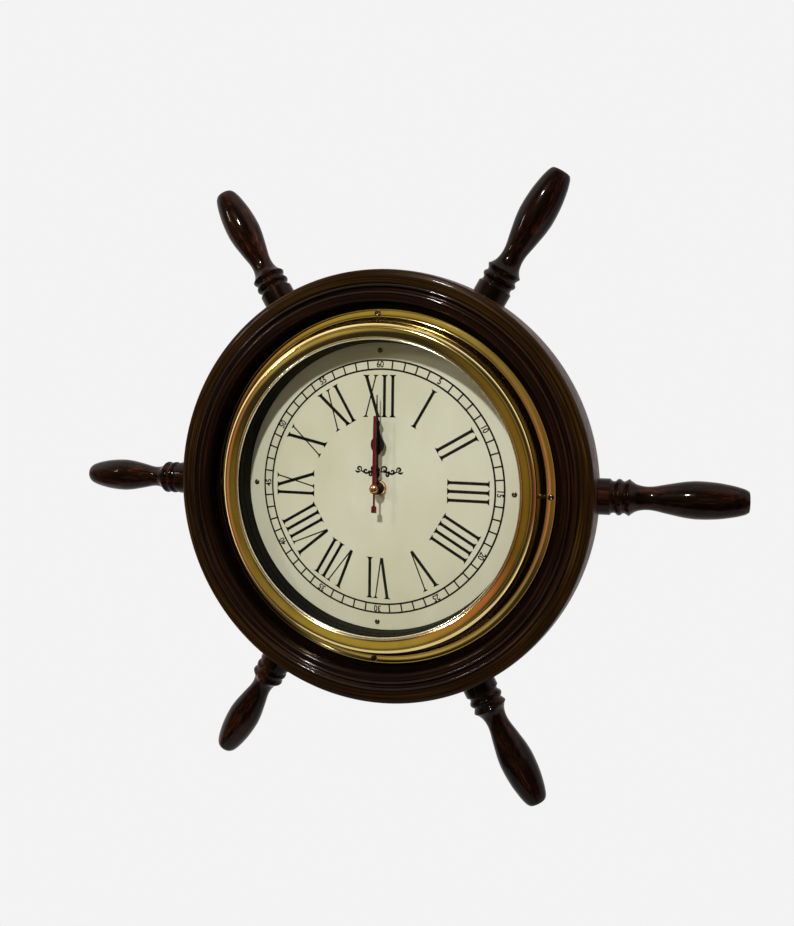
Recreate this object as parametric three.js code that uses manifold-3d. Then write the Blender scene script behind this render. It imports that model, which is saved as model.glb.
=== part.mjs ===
// Ship wheel wall clock: a turned wooden ring with six spindle handles, a brass bezel with glass,
// a printed dial on a round board, and a quartz movement that turns three hands.
// Millimetres. X is to the right and Z is up, seen from the front, and the front faces -Y.
// The wall is the plane y = 0. The origin is the point in the hanger's slot where the nail sits.
import * as THREE from 'three';
import { mergeVertices } from 'three/addons/utils/BufferGeometryUtils.js';
import Module from 'manifold-3d';

const wasm = await Module();
wasm.setup();

// Clearances
const fitGap = 0.3; // between a piece and the hole, bore or seat that is cut for it
const runGap = 0.06; // radial play of a shaft that turns in a bore
const pastFace = 1; // how far a cutting tool reaches past the face that it opens

// Number of sides of round pieces
const wideSides = 48;
const handleSides = 14;
const smallSides = 12;
const pivotSides = 8;

// Dial, board and the wall round them
const dialRadius = 127.6;
const dialThickness = 0.8;
const dialScrewInset = 7.1; // of the screws from the dial's edge
const boardThickness = 6;
const boardLedge = 17.4; // how far the board reaches behind the ring's inner wall
const dialDepth = 23.1; // from the ring's front mouldings back to the dial

// Brass bezel, glass and spacer ring
const lipSetback = 0.5; // the bezel's inner edge lies this far outside the dial's wall
const rollWidth = 13.9;
const rollRise = 2.3; // how far the roll stands proud of its two edges
const lipProud = 0.5; // the inner edge stands this far behind the mouldings
const shoulderProud = 2.6; // and the outer shoulder this far in front of them
const lipThickness = 1.3;
const lipBack = 2.6;
const sheet = 1.8;
const wallFlare = 5.2; // the bezel's side wall spreads this much from shoulder to flange
const flangeWidth = 8.4;
const flangeCrown = 4.0; // height of the flange's inner edge over its seat
const flangeEdge = 1.1;
const crownRise = 1.5;
const glassThickness = 3;
const glassOverlap = 9.1;
const spacerWidth = 10;
const screwSink = 0.4; // depth of the screws' seats below the flange's inner edge
const wallHeight = 10.4; // from the dial forward to the spacer ring's seat
const spigotWidth = 14.1;
const seatWeb = 5.4; // wood between the board's rebate and the bezel's seat

// Wooden ring, from the bezel outward
const recessGap = 5.1;
const stepWidth = 6.1;
const stepDrop = 3; // the inner moulding starts this far behind the beads
const beadWidth = 1.8;
const beadHeight = 1.6;
const coveWidth = 4.2;
const coveDepth = 1.6;
const bandWidth = 8.9;
const bandRise = 0.7;
const edgeRound = 3.6;
const sideBulge = 2;

// Spindle handles: angle of each clockwise from the top, and the extra length of its collar,
// as they were turned and fitted by hand
const handleAngles = [30, 89.5, 151, 211, 270, 329.5];
const collarExtras = [1, 0, 0, 3, 6, 5];
const collarRadius = 14.9;
const collarLength = 14.2;
const collarSink = 3.2; // the collar stands this deep in the ring's side
const collarSlope = 2.2; // length of the slope from the collar down to the groove
const grooveRadius = 13.2;
const handleBead = 8;
const flareLength = 4;
const neckRadius = 9.45;
const neckAt = 15; // from the flare's ridge to the narrowest place of the neck
const neckEase = 0.9; // how much thicker the neck is where the flare runs into it
const barrelRadius = 15.1;
const barrelAt = 37; // from the neck to the thickest place of the barrel
const barrelEnd = 37; // from there to the handle's end
const barrelEase = 1.1; // how much thinner the barrel is halfway to its end
const endRadius = 8.6;
const endStep = 0.6; // of the flat end past the barrel's curve
const tenonRadius = 8;
const tenonLength = 22;

// Wood screws: radius of shank and head, height of head, length under the head
const bezelScrew = { shank: 1.5, head: 2.6, rise: 1.5, length: 15 };
const dialScrew = { shank: 1.1, head: 2.3, rise: 1, length: 5.8 };
const boardScrew = { shank: 1.5, head: 3.2, rise: 1.6, length: 12 };
const hangerScrew = { shank: 1.2, head: 2.4, rise: 0.7, length: 9 };
const screwCount = 4;

// Hanger plate with its keyhole
const hangRadius = 168; // from the hands' axis up to the nail
const plateLength = 46;
const plateWidth = 21.5;
const plateThickness = 1.5;
const plateSink = 1; // of the plate below the ring's back
const keyRadius = 4.6;
const slotRadius = 2.3;
const keyDrop = 7.5; // from the nail's place down to the entry hole
const screwSpacing = 34;
const nailPocket = 7;

// Movement case, on the hands' axis
const caseSide = 56;
const caseDepth = 16;
const caseWall = 1.5;
const caseCorner = 1.6;
const lidDepth = 4;
const pillarRadius = 1.6;
const pillarInset = 5; // from the case's inner walls
const pillarRoom = 4; // between the partition and the lower pillars' middles
const tongueWidth = 8;
const tongueLength = 5.4;
const washerThickness = 1;
const washerRadius = 12;
const knobHeight = 2.6;
const knobRadius = 6;
const knobTeeth = 16;
const knobRoom = 4.5; // between the knob and the wall
const postRadius = 4;
const postLength = 3.7; // of the threaded post in front of the dial
const postFlange = 6;
const flangeDepth = 1;
const nutRadius = 6.7;
const nutHeight = 3;
const nutWasherHeight = 0.5;
const nutWasherRadius = 7.2;

// Battery and its bay
const cellRadius = 7.1;
const cellLength = 49.2;
const cellEdge = 0.5;
const nubRadius = 2.6;
const nubLength = 1.1;
const bayHeight = 15;
const contactThickness = 0.5;
const contactWidth = 10;
const contactDepth = 11;
const springRadius = 4.5;

// Pipes and arbor that carry the hands, by outer radius
const hourPipe = 2.7;
const minutePipe = 1.8;
const secondArbor = 0.7;

// Hands: how far the back of each stands in front of the dial, and its main sizes
const hourOut = 4.5;
const minuteOut = 6.7;
const secondOut = 12;
const handThickness = 0.6;
const handRoom = 0.3; // of each pipe's end in front of its hand
const hourHand = {
  length: 64, tip: 0.4, hub: 5.7, stem: 1.3, knobAt: 12.3, knob: 2.7, bulbAt: 38.5, bulb: 6.3,
};
const minuteHand = {
  length: 82, tip: 0.5, hub: 4.6, stem: 1.3, knobAt: 18, knob: 2.2, bulbAt: 57, bulb: 3.1,
};
const secondHand = { length: 63.7, tip: 1.35, hub: 4.4, stem: 1.9, tail: 21, tailStem: 0.95 };
const paddle = { halfWidth: 2.4, length: 5.6 };
const secondSleeve = { radius: 1.5, length: 3 };
const capRadius = 3.6;
const capHeight = 2.4;

// Outline of a spade hand's leaf, in shares of its half width: place along the hand, half width
const spadeLeaf = [
  [-1.45, 0.2], [-1.2, 0.36], [-0.95, 0.63], [-0.6, 0.88], [0, 1],
  [0.55, 0.89], [0.87, 0.67], [1.35, 0.48], [1.8, 0.35], [2.3, 0.26],
];

// Meshing pairs: teeth of both gears, distance of their axes and direction from the first
const pairs = {
  setting: { teeth: [8, 24], distance: 10, angle: 45 },
  hour: { teeth: [32, 8], distance: 10, angle: 45 },
  minute: { teeth: [48, 6], distance: 8.1, angle: 180 },
  second: { teeth: [6, 45], distance: 8.1, angle: 180 },
  idler: { teeth: [36, 6], distance: 8.4, angle: -20 },
  rotor: { teeth: [30, 6], distance: 7.2, angle: 10 },
};
const toothTip = 0.7; // height of a tooth outside the pitch circle, in modules
const toothRoot = 0.95; // and its depth inside it
const toothShare = 0.6; // width of a tooth's foot, as a share of the pitch
const wheelThickness = 0.9;
const layerStep = 1.6; // from one layer of wheels to the next
const plateThick = 1; // of the plate that carries the rear train
const plateRoom = 1; // between that plate and the pinion that runs through it
const arborRadius = 0.5;
const pivotDepth = 0.8;
const endPlay = 0.2;
const magnetRadius = 2.4;
const magnetHeight = 2.4;

// Coil, stator and circuit board
const coilRadius = 3.1;
const coilLength = 19;
const coilAt = [21.8, 3.6];
const coreWidth = 2;
const coreThickness = 1;
const coreReach = 3; // of the core beyond each end of the coil
const statorArm = 2.5;
const statorRoom = 0.5; // between the magnet and the stator
const statorRim = 1.3; // of the stator's metal round the magnet's hole
const boardSize = [28, 8, 1];
const boardUp = 22;

// Planes across the clock, from the wall forward
const caseRearY = -(knobRoom + knobHeight);
const caseFrontY = caseRearY - caseDepth;
const boardBackY = caseFrontY - washerThickness;
const boardFrontY = boardBackY - boardThickness;
const dialFrontY = boardFrontY - dialThickness;
const ringFrontY = dialFrontY - dialDepth;
const spacerSeatY = dialFrontY - wallHeight;
const bezelSeatY = boardFrontY - seatWeb;
const handleY = ringFrontY / 2;
const lipFrontY = ringFrontY + lipProud;
const lipBackY = lipFrontY + lipThickness;
const glassBackY = lipBackY + glassThickness;
const shoulderY = ringFrontY - shoulderProud;
const caseInnerY = caseFrontY + caseWall;
const lidSeatY = caseRearY - lidDepth;
const lidInnerY = caseRearY - caseWall;
const postFrontY = dialFrontY - postLength;
const hourHandY = dialFrontY - hourOut;
const minuteHandY = dialFrontY - minuteOut;
const secondHandY = dialFrontY - secondOut;

// Rear faces of the wheel layers, from the case's front wall back
const hourWheelY = caseInnerY + layerStep - endPlay;
const reductionY = hourWheelY + layerStep;
const middleFrontY = reductionY + 2 * endPlay;
const middleRearY = middleFrontY + plateThick;
const minuteWheelY = middleRearY + endPlay + wheelThickness;
const thirdWheelY = minuteWheelY + layerStep + endPlay;
const secondWheelY = thirdWheelY + layerStep + endPlay;
const coreFrontY = secondWheelY - wheelThickness - endPlay;
const halfWheel = wheelThickness / 2;

// Radii of the main steps, from the dial outward
const wallRadius = dialRadius + fitGap;
const lipRadius = wallRadius + lipSetback;
const shoulderRadius = lipRadius + rollWidth;
const flangeInner = shoulderRadius + wallFlare;
const flangeRadius = flangeInner + flangeWidth;
const recessRadius = flangeRadius + recessGap;
const innerBead = recessRadius + stepWidth + beadWidth / 2;
const outerBead = innerBead + beadWidth + coveWidth;
const bandRadius = outerBead + beadWidth / 2 + bandWidth;
const ringRadius = bandRadius + edgeRound;
const rebateRadius = wallRadius + boardLedge;
const spigotRadius = wallRadius + spigotWidth;
const crownY = bezelSeatY - flangeCrown;
const screwSeatY = crownY + screwSink;
const plateMiddle = hangRadius - (keyDrop + keyRadius - slotRadius) / 2;
const hangerPlaces = [-1, 1].map((side) => [(side * screwSpacing) / 2, plateMiddle]);
const roomHalf = caseSide / 2 - caseWall;
const bayTop = bayHeight - roomHalf;
const bayMiddle = bayHeight / 2 - roomHalf;
const hourBore = bore(hourPipe, runGap, smallSides);
const pivotBore = bore(arborRadius, runGap, pivotSides);
const reductionAt = away([0, 0], pairs.setting);
const thirdAt = away([0, 0], pairs.minute);
const idlerAt = away([0, 0], pairs.idler);
const rotorAt = away(idlerAt, pairs.rotor);
const bezelScrewCircle = (flangeInner + flangeRadius) / 2;
const dialScrewCircle = dialRadius - dialScrewInset;
const boardScrewCircle = (wallRadius + rebateRadius) / 2;

// Colours
const woodColour = 0x3a2011;
const handleColour = 0x33160d;
const brassColour = 0xb08a3a;
const blackPaint = 0x0d0d0e;
const blackPlastic = 0x18181a;
const whitePlastic = 0xe6e4da;
const steelColour = 0xa9abad;
const darkSteelColour = 0x3a332c;

function material(color, roughness, metalness) {
  return new THREE.MeshStandardMaterial({ color, roughness, metalness });
}

const wood = () => material(woodColour, 0.3, 0);
const spindleWood = () => material(handleColour, 0.28, 0);
const brass = () => material(brassColour, 0.25, 1);
const plastic = (color) => material(color, 0.5, 0);
const steel = () => material(steelColour, 0.35, 1);
const darkSteel = () => material(darkSteelColour, 0.4, 1);

// A point on the circle of this radius, clockwise from the top seen from the front
function polar(radius, degrees) {
  const a = THREE.MathUtils.degToRad(degrees);
  return [radius * Math.sin(a), radius * Math.cos(a)];
}

// A point at this distance from another, counterclockwise from +X
function away(from, { distance, angle }) {
  const a = THREE.MathUtils.degToRad(angle);
  return [from[0] + distance * Math.cos(a), from[1] + distance * Math.sin(a)];
}

// The radius of a many-sided bore whose flats clear a round shaft by the gap
function bore(shaftRadius, gap, sides) {
  return (shaftRadius + gap) / Math.cos(Math.PI / sides);
}

// Points from a towards b, without b, that bow out to the right of the way by the rise
function bow(a, b, rise, steps) {
  const length = Math.hypot(b[0] - a[0], b[1] - a[1]);
  const side = [(b[1] - a[1]) / length, -(b[0] - a[0]) / length];
  return Array.from({ length: steps }, (_, i) => {
    const t = i / steps;
    const h = 4 * rise * t * (1 - t);
    return [a[0] + (b[0] - a[0]) * t + side[0] * h, a[1] + (b[1] - a[1]) * t + side[1] * h];
  });
}

// A body turned about the Y axis from a closed outline of [radius, y] points
function turned(outline, sides) {
  const points = outline.map(([r, y]) => new THREE.Vector2(r, y));
  if (THREE.ShapeUtils.area(points) < 0) points.reverse();
  return new THREE.LatheGeometry([...points, points[0]], sides);
}

// A turned body whose outline starts and ends on the axis
function turnedSolid(outline, sides) {
  const points = outline.map(([r, y]) => new THREE.Vector2(r, y));
  if (THREE.ShapeUtils.area(points) < 0) points.reverse();
  const start = points.findIndex((p, i) => p.x === 0 && points.at(i - 1).x === 0);
  const ordered = [...points.slice(start), ...points.slice(0, start)];
  return new THREE.LatheGeometry(ordered, sides);
}

// A round bar along Y from y0 forward to y1, centred on [x, z]
function rod(radius, y0, y1, sides, [x, z] = [0, 0]) {
  const bar = turnedSolid([[0, y0], [radius, y0], [radius, y1], [0, y1]], sides);
  return bar.translate(x, 0, z);
}

// A round tube along Y
function tube(inner, outer, y0, y1, sides) {
  return turned([[inner, y0], [outer, y0], [outer, y1], [inner, y1]], sides);
}

// A flat plate whose outline lies in the XZ plane, from y0 forward to y1
function plate(shape, y0, y1, curveSegments = smallSides) {
  const depth = y0 - y1;
  const flat = new THREE.ExtrudeGeometry(shape, { depth, bevelEnabled: false, curveSegments });
  return flat.rotateX(Math.PI / 2).translate(0, y0, 0);
}

function polygon(points) {
  return new THREE.Shape(points.map(([x, z]) => new THREE.Vector2(x, z)));
}

function circle(radius, sides, [x, z] = [0, 0]) {
  const turn = (i) => (2 * Math.PI * i) / sides;
  return Array.from({ length: sides }, (_, i) => [
    x + radius * Math.cos(turn(i)),
    z + radius * Math.sin(turn(i)),
  ]);
}

function hole(shape, radius, sides, centre) {
  shape.holes.push(new THREE.Path(polygon(circle(radius, sides, centre)).getPoints()));
}

// A box between two corners
function block([x0, y0, z0], [x1, y1, z1]) {
  const box = new THREE.BoxGeometry(x1 - x0, y1 - y0, z1 - z0);
  return box.translate((x0 + x1) / 2, (y0 + y1) / 2, (z0 + z1) / 2);
}

// Joins and cuts go through closed solids with merged vertices
function toSolid(geometry) {
  const bare = geometry.clone();
  bare.deleteAttribute('normal');
  bare.deleteAttribute('uv');
  const merged = mergeVertices(bare, 1e-4);
  const triVerts = new Uint32Array(merged.index.array);
  const vertProperties = new Float32Array(merged.attributes.position.array);
  return new wasm.Manifold(new wasm.Mesh({ numProp: 3, vertProperties, triVerts }));
}

function fromSolid(solid) {
  const mesh = solid.getMesh();
  const geometry = new THREE.BufferGeometry();
  geometry.setAttribute('position', new THREE.BufferAttribute(mesh.vertProperties, 3));
  geometry.setIndex(new THREE.BufferAttribute(mesh.triVerts, 1));
  geometry.computeVertexNormals();
  return geometry;
}

function cut(body, tools) {
  return fromSolid(tools.reduce((left, tool) => left.subtract(toSolid(tool)), toSolid(body)));
}

function join(pieces) {
  const [first, ...rest] = pieces.map(toSolid);
  return fromSolid(rest.reduce((whole, piece) => whole.add(piece), first));
}

// Section of the ring's front layer: mouldings in front, seats for bezel and spacer inside, and a
// ledge behind for the board
function frontLayerOutline() {
  const beadRow = (at) => [
    [at - beadWidth / 2, ringFrontY + beadHeight],
    [at - beadWidth / 4, ringFrontY + beadHeight / 6],
    [at + beadWidth / 4, ringFrontY + beadHeight / 6],
    [at + beadWidth / 2, ringFrontY + beadHeight],
  ];
  const stepEnd = [innerBead - beadWidth / 2 - fitGap, ringFrontY + bandRise];
  const coveStart = [innerBead + beadWidth / 2, ringFrontY + beadHeight];
  const coveEnd = [outerBead - beadWidth / 2, ringFrontY + beadHeight];
  const bandStart = [outerBead + beadWidth / 2 + fitGap, ringFrontY + bandRise];
  const bandEnd = [bandRadius, ringFrontY + bandRise];
  const edgeEnd = [ringRadius, ringFrontY + edgeRound];
  return [
    [wallRadius, boardFrontY],
    [wallRadius, spacerSeatY],
    [spigotRadius, spacerSeatY],
    [spigotRadius, bezelSeatY],
    [recessRadius, bezelSeatY],
    ...bow([recessRadius, ringFrontY + stepDrop], stepEnd, bandRise, 3),
    stepEnd,
    ...beadRow(innerBead),
    ...bow(coveStart, coveEnd, -coveDepth, 4).slice(1),
    ...beadRow(outerBead),
    ...bow(bandStart, bandEnd, bandRise, 4),
    ...bow(bandEnd, edgeEnd, edgeRound / 3, 3),
    edgeEnd,
    ...ringSide().filter(([, y]) => y < boardFrontY),
    [sideAt(boardFrontY), boardFrontY],
  ];
}

// Section of the ring's back layer, which the board lies inside
function backLayerOutline() {
  return [
    [rebateRadius, 0],
    [rebateRadius, boardFrontY],
    [sideAt(boardFrontY), boardFrontY],
    ...ringSide().filter(([, y]) => y > boardFrontY),
    [ringRadius, -edgeRound],
    [bandRadius, 0],
  ];
}

// Radius of the ring's bulging side at y
function sideAt(y) {
  const depth = -edgeRound - (ringFrontY + edgeRound);
  const share = (y - ringFrontY - edgeRound) / depth;
  return ringRadius + 4 * sideBulge * share * (1 - share);
}

// The side's points between its two edges
function ringSide() {
  const steps = 6;
  const depth = -edgeRound - (ringFrontY + edgeRound);
  return Array.from({ length: steps - 1 }, (_, i) => {
    const y = ringFrontY + edgeRound + (depth * (i + 1)) / steps;
    return [sideAt(y), y];
  });
}

// Turns a body from the Y axis into the wheel's plane, pointing out at this angle
function placed(geometry, degrees) {
  const turn = THREE.MathUtils.degToRad(degrees);
  return geometry.rotateX(Math.PI / 2).rotateY(turn).translate(0, handleY, 0);
}

// Socket for one handle: a counterbore for the collar and a deeper bore for the tenon
function handleSocket(degrees) {
  const seat = ringRadius + sideBulge - collarSink;
  const tenonBore = tenonRadius + fitGap;
  const collarBore = collarRadius + fitGap;
  const mouth = ringRadius + sideBulge + pastFace;
  const floor = seat - tenonLength;
  const outline = [[0, floor], [tenonBore, floor], [tenonBore, seat], [collarBore, seat]];
  const socket = turnedSolid([...outline, [collarBore, mouth], [0, mouth]], handleSides);
  return placed(socket, degrees);
}

// What is cut out of both layers of the ring
function ringHollows() {
  const pilots = [];
  for (let i = 0; i < screwCount; i += 1) {
    const turn = (360 / screwCount) * i;
    const half = turn + 180 / screwCount;
    const bezelTip = screwSeatY + bezelScrew.length + fitGap;
    const boardTip = boardBackY - boardScrew.length - fitGap;
    const bezelPilot = bezelScrew.shank + fitGap;
    const boardPilot = boardScrew.shank + fitGap;
    const bezelAt = polar(bezelScrewCircle, turn);
    const boardAt = polar(boardScrewCircle, half);
    pilots.push(rod(bezelPilot, bezelTip, bezelSeatY - pastFace, pivotSides, bezelAt));
    pilots.push(rod(boardPilot, boardFrontY + pastFace, boardTip, pivotSides, boardAt));
  }
  return [...handleAngles.map(handleSocket), ...pilots];
}

function frontLayer() {
  return cut(turned(frontLayerOutline(), wideSides), ringHollows());
}

function backLayer() {
  return cut(turned(backLayerOutline(), wideSides), [...ringHollows(), ...hangerRecess()]);
}

// Outline of a handle, from its tenon outward, as [radius, distance from the hands' axis]
function handleOutline(extraCollar) {
  const seat = ringRadius + sideBulge - collarSink + fitGap;
  const groove = seat + collarLength + extraCollar;
  const secondGroove = groove + handleBead;
  const ridge = secondGroove + flareLength;
  const neck = ridge + neckAt;
  const thickest = neck + barrelAt;
  const end = thickest + barrelEnd;
  const barrel = new THREE.SplineCurve([
    [neckRadius + neckEase, neck - neckAt * 0.4],
    [neckRadius, neck],
    [(neckRadius * 2 + barrelRadius) / 3, neck + barrelAt * 0.35],
    [(neckRadius + barrelRadius * 3) / 4, neck + barrelAt * 0.62],
    [barrelRadius, thickest],
    [barrelRadius - barrelEase, thickest + barrelEnd * 0.43],
    [(barrelRadius + endRadius) / 2, thickest + barrelEnd * 0.78],
    [endRadius, end - endStep],
  ].map(([r, y]) => new THREE.Vector2(r, y)));
  return [
    [0, seat - tenonLength + fitGap],
    [tenonRadius, seat - tenonLength + fitGap],
    [tenonRadius, seat],
    [collarRadius, seat],
    [collarRadius, groove - collarSlope],
    [grooveRadius, groove],
    ...bow([grooveRadius, groove], [grooveRadius, secondGroove], barrelRadius - grooveRadius, 4).slice(1),
    [grooveRadius, secondGroove],
    [collarRadius, ridge],
    [(collarRadius + neckRadius) / 2, ridge + neckAt * 0.27],
    ...barrel.getPoints(10).map((p) => [p.x, p.y]),
    [0, end],
  ];
}

function handle(extraCollar, degrees) {
  return placed(turnedSolid(handleOutline(extraCollar), handleSides), degrees);
}

// Bezel section: lip, rolled front, side wall and crowned flange, hollow behind
function bezelOutline() {
  const lipTop = [lipRadius + lipThickness, lipFrontY - lipThickness / 2];
  const rollEnd = [shoulderRadius - sheet / 2, shoulderY];
  const wallTop = [shoulderRadius, shoulderY + sheet];
  const wallFoot = [flangeInner, crownY];
  const crownEnd = [flangeRadius - flangeEdge, bezelSeatY - flangeEdge * 1.6];
  const hollowTop = [shoulderRadius - 2 * sheet, shoulderY + sheet];
  const inside = spigotRadius + fitGap;
  return [
    [lipRadius, lipBackY],
    [lipRadius, lipFrontY],
    ...bow(lipTop, rollEnd, rollRise, 6),
    rollEnd,
    ...bow(wallTop, wallFoot, -wallFlare / 4, 5),
    ...bow(wallFoot, crownEnd, crownRise, 4),
    crownEnd,
    [flangeRadius, bezelSeatY - flangeEdge],
    [flangeRadius, bezelSeatY],
    [inside, bezelSeatY],
    [inside, spacerSeatY - sheet],
    [shoulderRadius - sheet, shoulderY + 2 * sheet],
    hollowTop,
    [lipRadius + lipBack, lipBackY],
  ];
}

function bezel() {
  const holes = [];
  const top = crownY - 2 * crownRise;
  for (let i = 0; i < screwCount; i += 1) {
    const at = polar(bezelScrewCircle, (360 / screwCount) * i);
    holes.push(rod(bezelScrew.shank + fitGap, bezelSeatY + pastFace, top, pivotSides, at));
    holes.push(rod(bezelScrew.head + fitGap, screwSeatY, top, pivotSides, at));
  }
  return cut(turned(bezelOutline(), wideSides), holes);
}

// A domed screw whose head faces front (way -1) or back (way 1), seated at y
function screw({ shank, head, rise, length }, seatY, way, at) {
  const outline = [
    [0, seatY - way * length],
    [shank * 0.4, seatY - way * length],
    [shank, seatY - way * (length - 2 * shank)],
    [shank, seatY],
    [head, seatY],
    [head * 0.75, seatY + way * rise * 0.7],
    [0, seatY + way * rise],
  ];
  return turnedSolid(outline, pivotSides).translate(at[0], 0, at[1]);
}

function dialPlate() {
  const face = polygon(circle(dialRadius, wideSides));
  for (let i = 0; i < screwCount; i += 1) {
    const at = polar(dialScrewCircle, (360 / screwCount) * i);
    hole(face, dialScrew.shank + fitGap, pivotSides, at);
  }
  hole(face, postRadius + fitGap, smallSides, [0, 0]);
  return plate(face, boardFrontY, dialFrontY);
}

function dialBoard() {
  const disc = polygon(circle(rebateRadius - fitGap, wideSides));
  for (let i = 0; i < screwCount; i += 1) {
    const turn = (360 / screwCount) * i;
    hole(disc, dialScrew.shank + fitGap, pivotSides, polar(dialScrewCircle, turn));
    hole(disc, boardScrew.shank + fitGap, pivotSides, polar(boardScrewCircle, turn + 180 / screwCount));
  }
  hole(disc, postRadius + fitGap, smallSides, [0, 0]);
  return plate(disc, boardBackY, boardFrontY);
}

// Keyhole outline round the nail's place: a narrow slot above a wide entry hole
function keyhole(centreZ) {
  const spread = Math.asin(slotRadius / keyRadius);
  const arc = (radius, from, to, z, steps) => Array.from({ length: steps + 1 }, (_, i) => {
    const a = from + ((to - from) * i) / steps;
    return [radius * Math.sin(a), z + radius * Math.cos(a)];
  });
  const slotTop = arc(slotRadius, -Math.PI / 2, Math.PI / 2, centreZ, 6);
  const entry = arc(keyRadius, spread, 2 * Math.PI - spread, centreZ - keyDrop, 12);
  return [...slotTop, ...entry];
}

// The plate's recess in the ring's back, the pocket for the nail's head and the screws' pilots
function hangerRecess() {
  const halfLength = plateLength / 2 + fitGap;
  const halfWidth = plateWidth / 2 + fitGap;
  const floorY = -plateSink - plateThickness;
  const pocketLow = hangRadius - keyDrop - keyRadius;
  const pocketHigh = hangRadius + keyRadius;
  const tip = -plateSink - hangerScrew.length - fitGap;
  return [
    block([-halfLength, floorY, plateMiddle - halfWidth], [halfLength, pastFace, plateMiddle + halfWidth]),
    block([-keyRadius, floorY - nailPocket, pocketLow], [keyRadius, 0, pocketHigh]),
    ...hangerPlaces.map((at) => rod(hangerScrew.shank + fitGap, 0, tip, pivotSides, at)),
  ];
}

function hangerPlate() {
  const halfLength = plateLength / 2;
  const low = plateMiddle - plateWidth / 2;
  const high = plateMiddle + plateWidth / 2;
  const face = polygon([[-halfLength, low], [halfLength, low], [halfLength, high], [-halfLength, high]]);
  face.holes.push(new THREE.Path(polygon(keyhole(hangRadius)).getPoints()));
  hangerPlaces.forEach((at) => hole(face, hangerScrew.shank + fitGap, pivotSides, at));
  return plate(face, -plateSink, -plateSink - plateThickness);
}

function spacerRing() {
  return tube(lipRadius, lipRadius + spacerWidth, spacerSeatY, glassBackY, wideSides);
}

function glassPane() {
  return rod(lipRadius + glassOverlap, glassBackY, lipBackY, wideSides);
}

// Square outline with cut corners
function caseOutline(half) {
  const flat = half - caseCorner;
  return polygon([
    [half, flat], [flat, half], [-flat, half], [-half, flat],
    [-half, -flat], [-flat, -half], [flat, -half], [half, -flat],
  ]);
}

// Front tub of the movement with the battery's partition and the pillars for the middle plate
function frontCase() {
  const shell = plate(caseOutline(caseSide / 2), lidSeatY, caseFrontY);
  const room = block([-roomHalf, caseInnerY, -roomHalf], [roomHalf, lidSeatY + pastFace, roomHalf]);
  const inWall = caseWall / 2;
  const wide = roomHalf + inWall;
  const narrow = roomHalf - fitGap;
  const foot = caseInnerY - inWall;
  const sides = block([-wide, foot, bayTop], [wide, lidSeatY - fitGap, bayTop + caseWall]);
  const middle = block([-narrow, foot, bayTop], [narrow, lidInnerY - fitGap, bayTop + caseWall]);
  const low = bayTop + caseWall + pillarRoom;
  const high = roomHalf - pillarInset;
  const across = roomHalf - pillarInset;
  const places = [[-across, low], [across, low], [-across, high], [across, high]];
  const pillars = places.map((at) => rod(pillarRadius, middleFrontY, foot, pivotSides, at));
  const seat = rod(postFlange + fitGap, caseFrontY + flangeDepth, caseFrontY - pastFace, smallSides);
  const pivotEnd = caseInnerY - pivotDepth - endPlay;
  const pivot = rod(pivotBore, caseInnerY + pastFace, pivotEnd, pivotSides, reductionAt);
  const body = join([cut(shell, [room]), sides, middle, ...pillars]);
  return cut(body, [seat, pivot, rod(hourBore, caseInnerY + pastFace, caseFrontY, smallSides)]);
}

// Rear lid with the battery's window, the rear pivots and two spring tongues
function rearCase() {
  const shell = plate(caseOutline(caseSide / 2), caseRearY, lidSeatY);
  const room = block([-roomHalf, lidSeatY - pastFace, -roomHalf], [roomHalf, lidInnerY, roomHalf]);
  const windowHalf = roomHalf - fitGap;
  const bayFloor = -roomHalf + fitGap;
  const windowHigh = [windowHalf, caseRearY + pastFace, bayTop - fitGap];
  const window = block([-windowHalf, lidSeatY, bayFloor], windowHigh);
  const tongueX = roomHalf - fitGap;
  const tongueZ = [boardUp - tongueWidth, boardUp];
  const tongues = [-1, 1].map((side) => {
    const [x0, x1] = [side * tongueX, side * (tongueX - caseWall)].sort((m, n) => m - n);
    return block([x0, lidInnerY - tongueLength, tongueZ[0]], [x1, lidInnerY + caseWall / 2, tongueZ[1]]);
  });
  const blindEnd = lidInnerY + pivotDepth + fitGap / 2;
  const blind = [thirdAt, idlerAt, rotorAt].map((at) => rod(pivotBore, blindEnd, lidSeatY, pivotSides, at));
  const centre = rod(bore(secondArbor, runGap, pivotSides), blindEnd, lidSeatY, pivotSides);
  const through = rod(pivotBore, caseRearY + pastFace, lidSeatY, pivotSides, reductionAt);
  return cut(join([cut(shell, [room, window]), ...tongues]), [...blind, centre, through]);
}

// Plate across the tub that carries the front pivots of the rear train, with two posts for the core
function middlePlate() {
  const half = roomHalf - fitGap;
  const low = bayTop + caseWall + fitGap;
  const flat = block([-half, middleFrontY, low], [half, middleRearY, half]);
  const clear = pairRadii(pairs.setting)[0] + plateRoom;
  const holes = [thirdAt, idlerAt, rotorAt, reductionAt].map((at) => (
    rod(pivotBore, middleRearY + pastFace, middleFrontY - pastFace, pivotSides, at)
  ));
  const centre = rod(clear, middleRearY + pastFace, middleFrontY - pastFace, smallSides);
  const posts = coreEnds().map((at) => rod(coreWidth / 2 + fitGap, coreFrontY, middleFrontY, pivotSides, at));
  return cut(join([flat, ...posts]), [...holes, centre]);
}

// Middles of the core's two bare ends
function coreEnds() {
  const reach = coilLength / 2 + coreReach / 2;
  return [[coilAt[0], coilAt[1] - reach], [coilAt[0], coilAt[1] + reach]];
}

function threadedPost() {
  const flange = rod(postFlange, caseFrontY + flangeDepth, caseFrontY, smallSides);
  const post = rod(postRadius, caseFrontY + flangeDepth, postFrontY, smallSides);
  return cut(join([flange, post]), [rod(hourBore, caseInnerY, postFrontY - pastFace, smallSides)]);
}

function rubberWasher() {
  return tube(postRadius + fitGap, washerRadius, caseFrontY, boardBackY, smallSides);
}

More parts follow.
